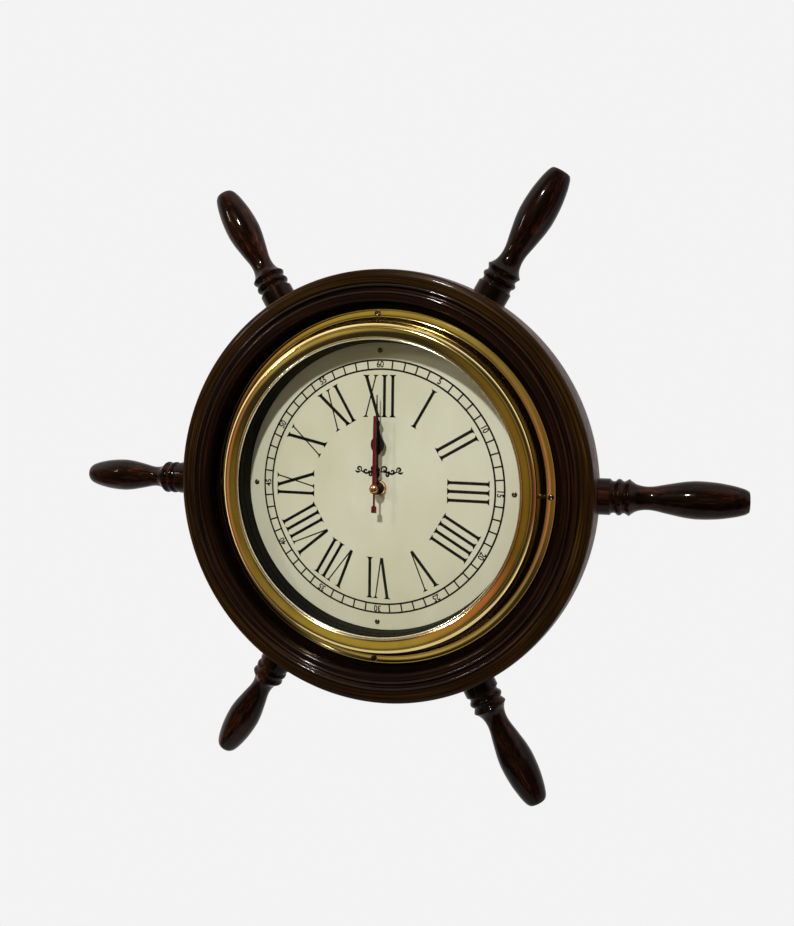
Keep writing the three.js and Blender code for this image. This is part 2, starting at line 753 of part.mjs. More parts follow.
function nutWasher() {
  const front = dialFrontY - nutWasherHeight;
  return tube(postRadius + fitGap, nutWasherRadius, dialFrontY, front, smallSides);
}

function dialNut() {
  const seat = dialFrontY - nutWasherHeight;
  return tube(bore(postRadius, runGap, smallSides), nutRadius, seat, seat - nutHeight, smallSides);
}

// Pitch radii of a meshing pair
function pairRadii({ teeth: [a, b], distance }) {
  return [(distance * a) / (a + b), (distance * b) / (a + b)];
}

// One gear of a pair (0 or 1) round its own axis: the first points a tooth at the second,
// and the second opens a gap towards the first
function gear(pair, which, rearY, frontY) {
  const count = pair.teeth[which];
  const radius = pairRadii(pair)[which];
  const moduleSize = (2 * radius) / count;
  const pitch = 360 / count;
  const start = which === 0 ? pair.angle : pair.angle + 180 + pitch / 2;
  const foot = radius - toothRoot * moduleSize;
  const half = (toothShare * pitch) / 2;
  const points = [];
  for (let i = 0; i < count; i += 1) {
    const turn = start + i * pitch;
    points.push(away([0, 0], { distance: foot, angle: turn - half }));
    points.push(away([0, 0], { distance: radius + toothTip * moduleSize, angle: turn }));
    points.push(away([0, 0], { distance: foot, angle: turn + half }));
  }
  return plate(polygon(points), rearY, frontY);
}

function hourWheel() {
  const wheel = gear(pairs.hour, 0, hourWheelY, hourWheelY - wheelThickness);
  const pipe = rod(hourPipe, hourWheelY, hourHandY - handThickness - handRoom, smallSides);
  const inside = rod(bore(minutePipe, runGap, smallSides), caseRearY, secondHandY, smallSides);
  return cut(join([wheel, pipe]), [inside]);
}

function minuteWheel() {
  const wheel = gear(pairs.minute, 0, minuteWheelY, minuteWheelY - wheelThickness);
  const pinion = gear(pairs.setting, 0, minuteWheelY - halfWheel, reductionY - wheelThickness);
  const pipe = rod(minutePipe, minuteWheelY, minuteHandY - handThickness - handRoom, smallSides);
  const inside = rod(bore(secondArbor, runGap, pivotSides), caseRearY, secondHandY, pivotSides);
  return cut(join([wheel, pinion, pipe]), [inside]);
}

function reductionWheel() {
  const wheel = gear(pairs.setting, 1, reductionY, reductionY - wheelThickness);
  const pinion = gear(pairs.hour, 1, reductionY - halfWheel, hourWheelY - wheelThickness);
  const arbor = rod(arborRadius, caseRearY + endPlay + knobHeight / 2, caseInnerY - pivotDepth, pivotSides);
  return join([wheel, pinion, arbor]).translate(reductionAt[0], 0, reductionAt[1]);
}

// Milled knob that sits on the end of the reduction wheel's arbor
function settingKnob() {
  const rear = caseRearY + knobHeight;
  const rim = Array.from({ length: 2 * knobTeeth }, (_, i) => {
    const radius = i % 2 === 0 ? knobRadius : knobRadius * 0.93;
    return away([0, 0], { distance: radius, angle: (180 * i) / knobTeeth });
  });
  const knob = plate(polygon(rim), rear, caseRearY + endPlay);
  const socketEnd = caseRearY + endPlay + knobHeight / 2 + endPlay;
  const socket = rod(pivotBore, socketEnd, caseRearY, pivotSides);
  return cut(knob, [socket]).translate(reductionAt[0], 0, reductionAt[1]);
}

function thirdWheel() {
  const wheel = gear(pairs.second, 1, thirdWheelY, thirdWheelY - wheelThickness);
  const pinion = gear(pairs.minute, 1, thirdWheelY - halfWheel, minuteWheelY - wheelThickness);
  const arbor = rod(arborRadius, lidInnerY + pivotDepth, middleRearY - pivotDepth, pivotSides);
  return join([wheel, pinion, arbor]).translate(thirdAt[0], 0, thirdAt[1]);
}

function secondWheel() {
  const wheel = gear(pairs.idler, 0, secondWheelY, secondWheelY - wheelThickness);
  const pinion = gear(pairs.second, 0, secondWheelY - halfWheel, thirdWheelY - wheelThickness);
  const arborFront = secondHandY - handThickness - capHeight / 2;
  const arbor = rod(secondArbor, lidInnerY + pivotDepth, arborFront, pivotSides);
  return join([wheel, pinion, arbor]);
}

function idlerWheel() {
  const wheel = gear(pairs.rotor, 0, thirdWheelY, thirdWheelY - wheelThickness);
  const pinion = gear(pairs.idler, 1, secondWheelY + endPlay, thirdWheelY - halfWheel);
  const arbor = rod(arborRadius, lidInnerY + pivotDepth, middleRearY - pivotDepth, pivotSides);
  return join([wheel, pinion, arbor]).translate(idlerAt[0], 0, idlerAt[1]);
}

function rotor() {
  const pinion = gear(pairs.rotor, 1, thirdWheelY + endPlay, thirdWheelY - wheelThickness - endPlay);
  const magnetY = coreFrontY + coreThickness * 1.5;
  const magnet = rod(magnetRadius, magnetY + magnetHeight / 2, magnetY - magnetHeight / 2, smallSides);
  const arbor = rod(arborRadius, lidInnerY + pivotDepth, middleRearY - pivotDepth, pivotSides);
  return join([pinion, magnet, arbor]).translate(rotorAt[0], 0, rotorAt[1]);
}

// Bar through the coil
function coilCore() {
  const half = coilLength / 2 + coreReach;
  const [x, z] = coilAt;
  const low = [x - coreWidth / 2, coreFrontY, z - half];
  return block(low, [x + coreWidth / 2, coreFrontY + coreThickness, z + half]);
}

// Winding: a round body along Z with a slot for the core
function coil() {
  const [x, z] = coilAt;
  const middleY = coreFrontY + coreThickness / 2;
  const half = coilLength / 2;
  const winding = rod(coilRadius, half, -half, smallSides).rotateX(Math.PI / 2).translate(x, middleY, z);
  const gap = fitGap / 2;
  const wide = coreWidth / 2 + gap;
  const deep = coreThickness / 2 + gap;
  const slot = block([x - wide, middleY - deep, z - coilLength], [x + wide, middleY + deep, z + coilLength]);
  return cut(winding, [slot]);
}

// Flat stator behind the core's ends, with the round hole for the rotor's magnet
function stator() {
  const [x, z] = coilAt;
  const far = x + coreWidth / 2;
  const low = z - coilLength / 2 - coreReach;
  const high = z + coilLength / 2 + coreReach;
  const near = x - coilRadius - fitGap;
  const rim = magnetRadius + statorRoom + statorRim;
  const left = rotorAt[0] - rim;
  const shoulder = rotorAt[1] + rim;
  const shape = polygon([
    [left, low], [far, low], [far, low + statorArm], [near, low + statorArm],
    [near, high - statorArm], [far, high - statorArm], [far, high], [near - statorArm, high],
    [near - statorArm, shoulder], [left, shoulder],
  ]);
  hole(shape, magnetRadius + statorRoom, smallSides, rotorAt);
  return plate(shape, coreFrontY + 2 * coreThickness, coreFrontY + coreThickness);
}

function circuitBoard() {
  const [width, height, thickness] = boardSize;
  const low = boardUp - height / 2;
  return block([-width / 2, middleRearY, low], [width / 2, middleRearY + thickness, low + height]);
}

// Cell that lies along X with its positive end to the right seen from the front
function battery() {
  const end = roomHalf - contactThickness - nubLength;
  const start = end - cellLength;
  const outline = [
    [0, start], [cellRadius - cellEdge, start], [cellRadius, start + cellEdge],
    [cellRadius, end - cellEdge], [cellRadius - cellEdge, end],
    [nubRadius, end], [nubRadius, end + nubLength], [0, end + nubLength],
  ];
  return turnedSolid(outline, smallSides).rotateZ(-Math.PI / 2).translate(0, cellY(), bayMiddle);
}

function cellY() {
  return caseInnerY + fitGap + cellRadius;
}

// Contact strip against one end wall of the bay, from x0 to x1
function contactStrip(x0, x1) {
  const low = bayMiddle - contactWidth / 2;
  return block([x0, caseInnerY, low], [x1, caseInnerY + contactDepth, low + contactWidth]);
}

function contactMinus() {
  const wall = -roomHalf;
  const cellStart = roomHalf - contactThickness - nubLength - cellLength;
  const outline = [
    [0, wall + contactThickness / 2], [springRadius, wall + contactThickness / 2],
    [springRadius * 0.6, cellStart], [0, cellStart],
  ];
  const spring = turnedSolid(outline, smallSides).rotateZ(-Math.PI / 2).translate(0, cellY(), bayMiddle);
  return join([contactStrip(wall, wall + contactThickness), spring]);
}

// Half outline of a spade hand, as [half width, place along the hand]
function spadeOutline({ length, tip, stem, knobAt, knob, bulbAt, bulb }) {
  const start = [stem, 0];
  const leaf = spadeLeaf.map(([place, width]) => [bulb * width, bulbAt + bulb * place]);
  const diamond = [[stem, knobAt - knob], [knob, knobAt], [stem, knobAt + knob]];
  return [start, ...diamond, [stem * 0.85, leaf[0][1] - stem], ...leaf, [tip, length]];
}

function mirrored(outline) {
  const left = outline.map(([x, z]) => [-x, z]).reverse();
  return polygon([...outline, ...left]);
}

function hand(outline, hub, pipe, rearY, sides) {
  const blade = plate(mirrored(outline), rearY, rearY - handThickness);
  const disc = rod(hub, rearY, rearY - handThickness, 2 * smallSides);
  const onPipe = rod(bore(pipe, runGap, sides), rearY + pastFace, rearY - handThickness - pastFace, sides);
  return cut(join([blade, disc]), [onPipe]);
}

function secondHandBody() {
  const { length, tip, hub, stem, tail, tailStem } = secondHand;
  const outline = [
    [paddle.halfWidth, -tail], [paddle.halfWidth, -tail + paddle.length],
    [tailStem, -tail + paddle.length + tailStem], [tailStem, -hub / 2], [stem, hub / 2], [tip, length],
  ];
  const { radius, length: sleeveLength } = secondSleeve;
  const sleeve = rod(radius, secondHandY + sleeveLength, secondHandY - handThickness / 2, pivotSides);
  const arborBore = bore(secondArbor, runGap, pivotSides);
  const arborHole = rod(arborBore, minuteHandY, secondHandY - capHeight, pivotSides);
  return cut(join([hand(outline, hub, secondArbor, secondHandY, pivotSides), sleeve]), [arborHole]);
}

// Domed cap on the seconds hand, hollowed for the arbor's end
function handCap() {
  const seat = secondHandY - handThickness;
  const outline = [
    [0, seat], [capRadius, seat], [capRadius * 0.87, seat - capHeight * 0.55],
    [capRadius * 0.5, seat - capHeight * 0.92], [0, seat - capHeight],
  ];
  const socketBore = bore(secondArbor, runGap, pivotSides);
  const socket = rod(socketBore, seat + pastFace, seat - capHeight / 2 - endPlay, pivotSides);
  return cut(turnedSolid(outline, smallSides), [socket]);
}

const assembly = new THREE.Group();
assembly.position.z = -hangRadius;

function add(name, geometry, look) {
  const mesh = new THREE.Mesh(geometry, look);
  mesh.name = name;
  assembly.add(mesh);
}

// The same screw at each place of a circle
function addScrews(name, kind, seatY, way, places, look) {
  places.forEach((at, i) => add(`${name}_${i + 1}`, screw(kind, seatY, way, at), look()));
}

function around(radius, first) {
  return Array.from({ length: screwCount }, (_, i) => polar(radius, first + (360 / screwCount) * i));
}

add('ring_front_layer', frontLayer(), wood());
add('ring_back_layer', backLayer(), wood());
handleAngles.forEach((degrees, i) => add(`handle_${i + 1}`, handle(collarExtras[i], degrees), spindleWood()));

add('bezel', bezel(), brass());
addScrews('bezel_screw', bezelScrew, screwSeatY, -1, around(bezelScrewCircle, 0), darkSteel);
add('glass', glassPane(), material(0xf2f6f5, 0.05, 0));
add('spacer_ring', spacerRing(), plastic(blackPaint));

add('dial_plate', dialPlate(), material(0xd8d5c0, 0.35, 0.3));
addScrews('dial_screw', dialScrew, dialFrontY, -1, around(dialScrewCircle, 0), darkSteel);
add('dial_board', dialBoard(), plastic(blackPaint));
addScrews('board_screw', boardScrew, boardBackY, 1, around(boardScrewCircle, 180 / screwCount), steel);

add('movement_front_case', frontCase(), plastic(blackPlastic));
add('movement_rear_case', rearCase(), plastic(blackPlastic));
add('middle_plate', middlePlate(), plastic(whitePlastic));
add('threaded_post', threadedPost(), brass());
add('rubber_washer', rubberWasher(), material(0x111111, 0.85, 0));
add('nut_washer', nutWasher(), brass());
add('dial_nut', dialNut(), brass());

add('hour_wheel', hourWheel(), plastic(whitePlastic));
add('minute_wheel', minuteWheel(), plastic(whitePlastic));
add('reduction_wheel', reductionWheel(), plastic(whitePlastic));
add('setting_knob', settingKnob(), plastic(blackPlastic));
add('third_wheel', thirdWheel(), plastic(whitePlastic));
add('second_wheel', secondWheel(), plastic(whitePlastic));
add('idler_wheel', idlerWheel(), plastic(whitePlastic));
add('rotor', rotor(), steel());
add('coil', coil(), material(0xa5542a, 0.4, 0.6));
add('coil_core', coilCore(), steel());
add('stator', stator(), steel());
add('circuit_board', circuitBoard(), material(0x1f5a35, 0.5, 0));
add('battery', battery(), material(0x2d5f9a, 0.35, 0.4));
add('contact_plus', contactStrip(roomHalf - contactThickness, roomHalf), steel());
add('contact_minus', contactMinus(), steel());

const hourBlade = hand(spadeOutline(hourHand), hourHand.hub, hourPipe, hourHandY, smallSides);
const minuteBlade = hand(spadeOutline(minuteHand), minuteHand.hub, minutePipe, minuteHandY, smallSides);
add('hour_hand', hourBlade, plastic(blackPaint));
add('minute_hand', minuteBlade, plastic(blackPaint));
add('second_hand', secondHandBody(), material(0x4a0a0c, 0.25, 0.2));
add('hand_cap', handCap(), material(0xb0743a, 0.25, 1));

add('hanger_plate', hangerPlate(), steel());
addScrews('hanger_screw', hangerScrew, -plateSink, 1, hangerPlaces, steel);

export default assembly;
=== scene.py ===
"""Ship wheel wall clock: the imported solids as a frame, with detailed pieces and materials on it.

The scene is in metres, in the frame of the solids. Profiles are written in millimetres from the hands'
axis, which lies HANG below the origin. There y is 0 at the wall and negative towards the viewer.
"""
import math

import bmesh
import bpy
from mathutils import Matrix, Vector
from mathutils.geometry import tessellate_polygon


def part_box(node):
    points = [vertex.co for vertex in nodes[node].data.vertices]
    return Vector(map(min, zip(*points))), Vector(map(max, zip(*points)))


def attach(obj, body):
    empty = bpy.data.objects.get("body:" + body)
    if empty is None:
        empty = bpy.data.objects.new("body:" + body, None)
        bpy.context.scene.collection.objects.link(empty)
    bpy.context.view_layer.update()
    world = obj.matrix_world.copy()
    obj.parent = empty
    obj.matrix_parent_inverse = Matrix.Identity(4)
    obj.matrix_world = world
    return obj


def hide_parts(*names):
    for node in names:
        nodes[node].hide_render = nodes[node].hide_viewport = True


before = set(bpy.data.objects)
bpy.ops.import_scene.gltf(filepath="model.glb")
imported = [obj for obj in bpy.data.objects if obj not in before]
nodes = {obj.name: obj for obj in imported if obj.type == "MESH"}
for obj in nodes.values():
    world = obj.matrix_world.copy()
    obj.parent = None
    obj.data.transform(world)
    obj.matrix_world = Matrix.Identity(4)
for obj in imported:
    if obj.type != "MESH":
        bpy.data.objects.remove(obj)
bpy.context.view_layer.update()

MM = 0.001
HANG = 168.0  # from the nail down to the hands' axis
WIDE = 240  # segments of the ring, the bezel and the dial
FINE = 64  # segments of handles and small round pieces
SHARP = 32  # degrees between faces above which an edge stays sharp


# Planes and radii of the solids, in mm


def limits(node):
    """The two corners of a solid's box, with z measured from the hands' axis."""
    return [tuple(round(v / MM, 3) for v in (c.x, c.y, c.z + HANG * MM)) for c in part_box(node)]


def front(node):
    """Plane of a solid's front."""
    return limits(node)[0][1]


def back(node):
    """Plane of a solid's back."""
    return limits(node)[1][1]


def reach(node):
    """How far a solid reaches to the right, its radius where it is round about the hands' axis."""
    return limits(node)[1][0]


def middle(node):
    """Centre of a solid as (x, z)."""
    low, high = limits(node)
    return (low[0] + high[0]) / 2, (low[2] + high[2]) / 2


FIT = 0.3  # clearance round what is let into another piece
RING_Y = front("ring_front_layer")
HANDLE_Y = RING_Y / 2
BOARD_FRONT = front("dial_board")
BOARD_BACK = back("dial_board")
BOARD_R = reach("dial_board")
DIAL_Y = front("dial_plate")
DIAL_R = reach("dial_plate")
GLASS_FRONT = front("glass")
GLASS_BACK = back("glass")
SPACER_BACK = back("spacer_ring")
FLANGE_BACK = back("bezel")
FLANGE_R = reach("bezel")

# Radii and mouldings of the ring
RING_BORE = 144.2  # radius of the ring's wall behind the bezel
RECESS = 161.0  # radius of the recess that the bezel lies in
BEADS = (168.1, 174.0)  # radii of the two beads' crests
BEAD = 0.9  # radius of a bead's section
RIM = limits("ring_back_layer")[1][2] - 1.9  # radius of the ring's side without its bulge
CORNER = 3.9  # depth of the rounded corner between front and side
ROUNDING = 3.6  # width of that corner
LIFT = 0.1  # how far the back's outer edge stands off the wall


# Meshes


AXIS = Matrix.Translation((0, 0, -HANG * MM))  # place of what is measured from the hands' axis


def solid(name, points, faces):
    """A mesh of points in mm, with double points merged and its faces turned outward."""
    mesh = bpy.data.meshes.new(name)
    mesh.from_pydata([tuple(c * MM for c in p) for p in points], [], faces)
    mesh.validate()
    bm = bmesh.new()
    bm.from_mesh(mesh)
    bmesh.ops.remove_doubles(bm, verts=bm.verts, dist=1e-7)
    bmesh.ops.recalc_face_normals(bm, faces=bm.faces)
    bm.to_mesh(mesh)
    bm.free()
    return mesh


def linked(name, data):
    """An object of the data, in the scene."""
    obj = bpy.data.objects.new(name, data)
    bpy.context.collection.objects.link(obj)
    return obj


def piece(name, points, faces, slot, body="clock", sharp=SHARP, place=AXIS, replaces=()):
    """A mesh of points in mm, smooth but for edges sharper than the angle, riding on a body."""
    mesh = solid(name, points, faces)
    mesh.polygons.foreach_set("use_smooth", [True] * len(mesh.polygons))
    mesh.set_sharp_from_angle(angle=math.radians(sharp))
    obj = linked(name, mesh)
    obj.matrix_world = place
    bpy.context.view_layer.update()
    if replaces:
        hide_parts(*replaces)
    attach(obj, body)
    return obj


def lathe(profile, segments=FINE, closed=True):
    """Points and faces of a profile of (radius, y) turned about Y; a closed one ends at its start."""
    points, faces, rings = [], [], []
    for r, y in profile:
        if r == 0:
            rings.append([len(points)] * segments)
            points.append((0.0, y, 0.0))
            continue
        rings.append(list(range(len(points), len(points) + segments)))
        for i in range(segments):
            angle = 2 * math.pi * i / segments
            points.append((r * math.sin(angle), y, r * math.cos(angle)))
    for a, b in zip(rings, rings[1:] + rings[:1] if closed else rings[1:]):
        for i in range(segments):
            j = (i + 1) % segments
            corners = list(dict.fromkeys((a[i], a[j], b[j], b[i])))
            if len(corners) > 2:
                faces.append(corners)
    return points, faces


def polar(radius, degrees):
    """A place on a circle, clockwise from the top seen from the front, as (x, z)."""
    a = math.radians(degrees)
    return radius * math.sin(a), radius * math.cos(a)


def circle(radius, sides):
    """Evenly spaced points of a circle, as (x, z)."""
    return [polar(radius, 360 * i / sides) for i in range(sides)]


def arc(centre, radius, start, end, steps):
    """Points of a circle's arc, by angles in degrees from +r towards +y."""
    angles = [math.radians(start + (end - start) * i / steps) for i in range(steps + 1)]
    return [(centre[0] + radius * math.cos(a), centre[1] + radius * math.sin(a)) for a in angles]


def bow(a, b, rise, steps):
    """Points from a to b that bow out to the right of the way by the rise."""
    dx, dy = b[0] - a[0], b[1] - a[1]
    length = math.hypot(dx, dy)
    out = []
    for i in range(steps + 1):
        t = i / steps
        h = 4 * rise * t * (1 - t)
        out.append((a[0] + dx * t + dy / length * h, a[1] + dy * t - dx / length * h))
    return out


def spline(knots, steps):
    """A smooth line through all the knots, with this many steps between two of them."""
    out = []
    last = len(knots) - 1
    for k in range(last):
        p0, p1, p2, p3 = knots[max(k - 1, 0)], knots[k], knots[k + 1], knots[min(k + 2, last)]
        for i in range(steps):
            t = i / steps
            out.append(tuple(
                0.5 * (2 * b + (c - a) * t + (2 * a - 5 * b + 4 * c - d) * t * t
                       + (3 * b - a - 3 * c + d) * t ** 3)
                for a, b, c, d in zip(p0, p1, p2, p3)
            ))
    out.append(tuple(knots[-1]))
    return out


def sleeve(n):
    """Faces between two outlines of n points each, one after the other."""
    return [(i, (i + 1) % n, n + (i + 1) % n, n + i) for i in range(n)]


def slab(outline, y0, y1):
    """Points and faces of a flat outline of (x, z) with a thickness from y0 to y1."""
    n = len(outline)
    points = [(x, y, z) for y in (y0, y1) for x, z in outline]
    triangles = tessellate_polygon([[Vector((x, z, 0)) for x, z in outline]])
    faces = [tuple(t) for t in triangles] + [tuple(i + n for i in reversed(t)) for t in triangles]
    return points, faces + sleeve(n)


def merged(parts):
    """Several (points, faces) as one."""
    points, faces = [], []
    for p, f in parts:
        base = len(points)
        points += p
        faces += [tuple(i + base for i in face) for face in f]
    return points, faces


def bevelled(obj, width):
    """Rounds the edges of an object by a width in mm, with a modifier."""
    bevel = obj.modifiers.new("edge", "BEVEL")
    bevel.width = width * MM
    bevel.segments = 2
    bevel.limit_method = "ANGLE"
    bevel.angle_limit = math.radians(35)
    bevel.harden_normals = True


# Materials


class Nodes:
    """A node tree, with short calls for making and linking its nodes."""

    def __init__(self, tree):
        self.tree = tree

    def feed(self, socket, value):
        """Links a node's output to the socket, or sets the socket to a plain value."""
        if isinstance(value, bpy.types.NodeSocket):
            self.tree.links.new(value, socket)
        else:
            socket.default_value = value

    def add(self, kind, inputs=None, **settings):
        node = self.tree.nodes.new(kind)
        for key, value in settings.items():
            setattr(node, key, value)
        for key, value in (inputs or {}).items():
            self.feed(node.inputs[key], value)
        return node

    def math(self, operation, a, b=0.0):
        return self.add("ShaderNodeMath", {0: a, 1: b}, operation=operation).outputs[0]

    def remap(self, value, low, high, to_low, to_high, **settings):
        inputs = {"Value": value, "From Min": low, "From Max": high, "To Min": to_low, "To Max": to_high}
        return self.add("ShaderNodeMapRange", inputs, **settings).outputs[0]

    def mix(self, share, a, b):
        """Goes from colour a to colour b with the share, each a socket or red, green and blue."""
        node = self.add("ShaderNodeMix", {0: share}, data_type="RGBA")
        for socket, color in zip(node.inputs[6:8], (a, b)):
            self.feed(socket, (*color, 1) if isinstance(color, tuple) else color)
        return node.outputs[2]


class Look(Nodes):
    """A material of nodes that feed one Principled shader."""

    def __init__(self, name, **sockets):
        self.material = bpy.data.materials.new(name)
        self.material.use_nodes = True
        super().__init__(self.material.node_tree)
        self.shader = self.tree.nodes["Principled BSDF"]
        self.set(**sockets)

    def set(self, **sockets):
        """Sets or links the shader's sockets by their names in small letters."""
        for key, value in sockets.items():
            name = key.replace("_", " ").title().replace("Ior", "IOR")
            self.feed(self.shader.inputs[name], value)

    def on(self, *objects):
        for obj in objects:
            obj.data.materials.clear()
            obj.data.materials.append(self.material)

    def place(self):
        return self.add("ShaderNodeTexCoord").outputs["Object"]

    def vector(self, x, y=0.0, z=0.0):
        return self.add("ShaderNodeCombineXYZ", {0: x, 1: y, 2: z}).outputs[0]

    def plus(self, a, b):
        """The sum of two vectors."""
        return self.add("ShaderNodeVectorMath", {0: a, 1: b}, operation="ADD").outputs[0]

    def stretched(self, vector, scale):
        return self.add("ShaderNodeMapping", {"Vector": vector, "Scale": scale}).outputs[0]

    def noise(self, vector, scale, detail, rough=0.55):
        inputs = {"Vector": vector, "Scale": scale, "Detail": detail, "Roughness": rough}
        return self.add("ShaderNodeTexNoise", inputs).outputs["Fac"]

    def ramp(self, value, stops):
        node = self.add("ShaderNodeValToRGB", {"Fac": value})
        elements = node.color_ramp.elements
        while len(elements) < len(stops):
            elements.new(1.0)
        for element, (position, color) in zip(elements, stops):
            element.position = position
            element.color = (*color, 1)
        return node.outputs[0]

    def bump(self, height, distance, strength):
        inputs = {"Height": height, "Distance": distance * MM, "Strength": strength}
        self.set(normal=self.add("ShaderNodeBump", inputs).outputs[0])

    def radius(self):
        """Distance from the hands' axis in mm, and the direction from it with a scaled depth as its y."""
        x, y, z = self.add("ShaderNodeSeparateXYZ", {0: self.place()}).outputs
        square = self.math("ADD", self.math("MULTIPLY", x, x), self.math("MULTIPLY", z, z))
        r = self.math("SQRT", square)
        depth = self.math("MULTIPLY", y, 120.0)
        around = self.vector(self.math("DIVIDE", x, r), depth, self.math("DIVIDE", z, r))
        return self.math("MULTIPLY", r, 1 / MM), around

    def rings(self, r, pace, around, drift):
        """A place that runs fast outwards and drifts slowly round, for noise in turned lines."""
        return self.plus(self.stretched(around, drift), self.vector(self.math("MULTIPLY", r, pace)))


def srgb(r, g, b):
    """A colour written as it shows, 0 to 255, as linear values."""
    return tuple(((c / 255 + 0.055) / 1.055) ** 2.4 if c > 10 else c / 255 / 12.92 for c in (r, g, b))


def ring_wood():
    """Stained wood with fine turned streaks, redder and darker on the inner mouldings, and near black inside
    the recess as painted shade.
    """
    look = Look("ring_wood", ior=1.3, specular_ior_level=0.1, specular_tint=(0.6, 0.46, 0.34, 1.0),
                coat_ior=1.4, coat_roughness=0.05)
    r, around = look.radius()
    streak = look.noise(look.rings(r, 0.42, around, (1.5, 1.0, 1.5)), 1.9, 8.0, 0.66)
    broad = look.noise(look.stretched(around, (1.6, 0.4, 1.6)), 1.4, 2.0)
    groove = look.noise(look.rings(r, 0.75, around, (0.5, 0.2, 0.5)), 1.0, 2.0)
    outer = look.ramp(streak, [(0.36, srgb(18, 9, 3)), (0.5, srgb(40, 24, 8)), (0.64, srgb(66, 46, 16))])
    inner = look.ramp(streak, [(0.36, srgb(8, 3, 3)), (0.5, srgb(24, 10, 6)), (0.66, srgb(52, 28, 16))])
    tone = look.mix(look.remap(r, BEADS[1] - 2.0, BEADS[1] + 4.0, 0.0, 1.0), inner, outer)
    tone = look.mix(look.remap(broad, 0.4, 0.65, 0.0, 0.55), tone, srgb(22, 9, 5))
    tone = look.mix(look.remap(groove, 0.4, 0.5, 0.6, 0.0), tone, srgb(12, 6, 3))
    # Painted shade: near black inside the recess round the bezel.
    tone = look.mix(look.remap(r, RECESS, RECESS + 1.0, 0.75, 0.0), tone, srgb(7, 4, 3))
    off = [look.math("ABSOLUTE", look.math("SUBTRACT", r, bead)) for bead in BEADS]
    gloss = look.remap(look.math("MINIMUM", *off), BEAD - 0.3, BEAD + 0.4, 1.0, 0.12)
    look.set(base_color=tone, roughness=look.remap(streak, 0.3, 0.7, 0.34, 0.22), coat_weight=gloss)
    look.bump(streak, 0.08, 0.4)
    return look


def handle_wood(name, degrees):
    """Almost black red-brown wood with lighter figure along a handle at this angle, under gloss."""
    look = Look(name, ior=1.3, specular_ior_level=0.1, specular_tint=(0.4, 0.27, 0.2, 1.0),
                coat_weight=0.2, coat_ior=1.4, coat_roughness=0.04)
    random = look.add("ShaderNodeObjectInfo").outputs["Random"]
    upright = {"Vector": look.place(), "Rotation": (0.0, -math.radians(degrees), 0.0)}
    along = look.add("ShaderNodeMapping", upright).outputs[0]
    place = look.plus(along, look.vector(random, random, random))
    grain = look.noise(look.stretched(place, (900.0, 900.0, 42.0)), 1.0, 8.0, 0.6)
    figure = look.noise(look.stretched(place, (90.0, 90.0, 16.0)), 1.0, 3.0)
    both = look.math("ADD", look.math("MULTIPLY", grain, 0.5), look.math("MULTIPLY", figure, 0.5))
    stops = [(0.4, srgb(6, 3, 2)), (0.5, srgb(17, 7, 4)), (0.58, srgb(40, 17, 9)), (0.7, srgb(88, 44, 23))]
    look.set(base_color=look.ramp(both, stops), roughness=look.remap(grain, 0.3, 0.7, 0.32, 0.2))
    look.bump(grain, 0.05, 0.3)
    return look


def brass_look(name, color, roughness, tarnish_and_reflection):
    """Polished brass with faint turning lines and patches of a darker, warmer tone: tarnish that also paints
    in warm reflections.
    """
    look = Look(name, metallic=1.0)
    r, around = look.radius()
    patches = look.noise(look.stretched(around, (3.0, 1.0, 3.0)), 1.5, 3.0)
    turning = look.noise(look.vector(look.math("MULTIPLY", r, 3.0)), 1.0, 3.0)
    # Warm patches, partly tarnish and partly painted reflection.
    tone = look.mix(look.remap(patches, 0.35, 0.7, 0.0, 1.0), color, tarnish_and_reflection)
    gloss = look.remap(turning, 0.3, 0.7, roughness * 0.75, roughness * 1.3)
    look.set(base_color=tone, roughness=gloss)
    look.bump(turning, 0.01, 0.25)
    return look


def dial_paint():
    """Ivory satin lacquer with faint clouds."""
    look = Look("dial_paint", specular_ior_level=0.25)
    place = look.place()
    clouds = look.noise(look.stretched(place, (14.0, 14.0, 9.0)), 1.0, 3.0)
    grain = look.noise(place, 900.0, 2.0)
    tone = look.ramp(clouds, [(0.35, srgb(198, 198, 173)), (0.65, srgb(208, 210, 189))])
    look.set(base_color=tone, roughness=look.remap(clouds, 0.3, 0.7, 0.38, 0.48))
    look.bump(grain, 0.01, 0.2)
    return look


def grained(name, color, roughness, size=900.0, depth=0.02, spread=0.12, **sockets):
    """One colour with a fine grain in tone, gloss and relief: plastic, paint or plain metal."""
    look = Look(name, **sockets)
    place = look.place()
    fine = look.noise(place, size, 3.0)
    cloud = look.noise(place, size / 12, 2.0)
    dark = tuple(c * (1 - spread) for c in color)
    light = tuple(min(c * (1 + spread), 1.0) for c in color)
    gloss = look.remap(fine, 0.3, 0.7, roughness * 0.85, min(roughness * 1.15, 1))
    look.set(base_color=look.ramp(cloud, [(0.35, dark), (0.65, light)]), roughness=gloss)
    look.bump(fine, depth, 0.4)
    return look


def clear_glass():
    """A faint mirror that is nearly see-through, with a trace of dust in its gloss."""
    look = Look("clear_glass", base_color=(1, 1, 1, 1), metallic=1.0, alpha=0.012)
    dust = look.noise(look.place(), 60.0, 4.0)
    look.set(roughness=look.remap(dust, 0.4, 0.7, 0.02, 0.07))
    return look


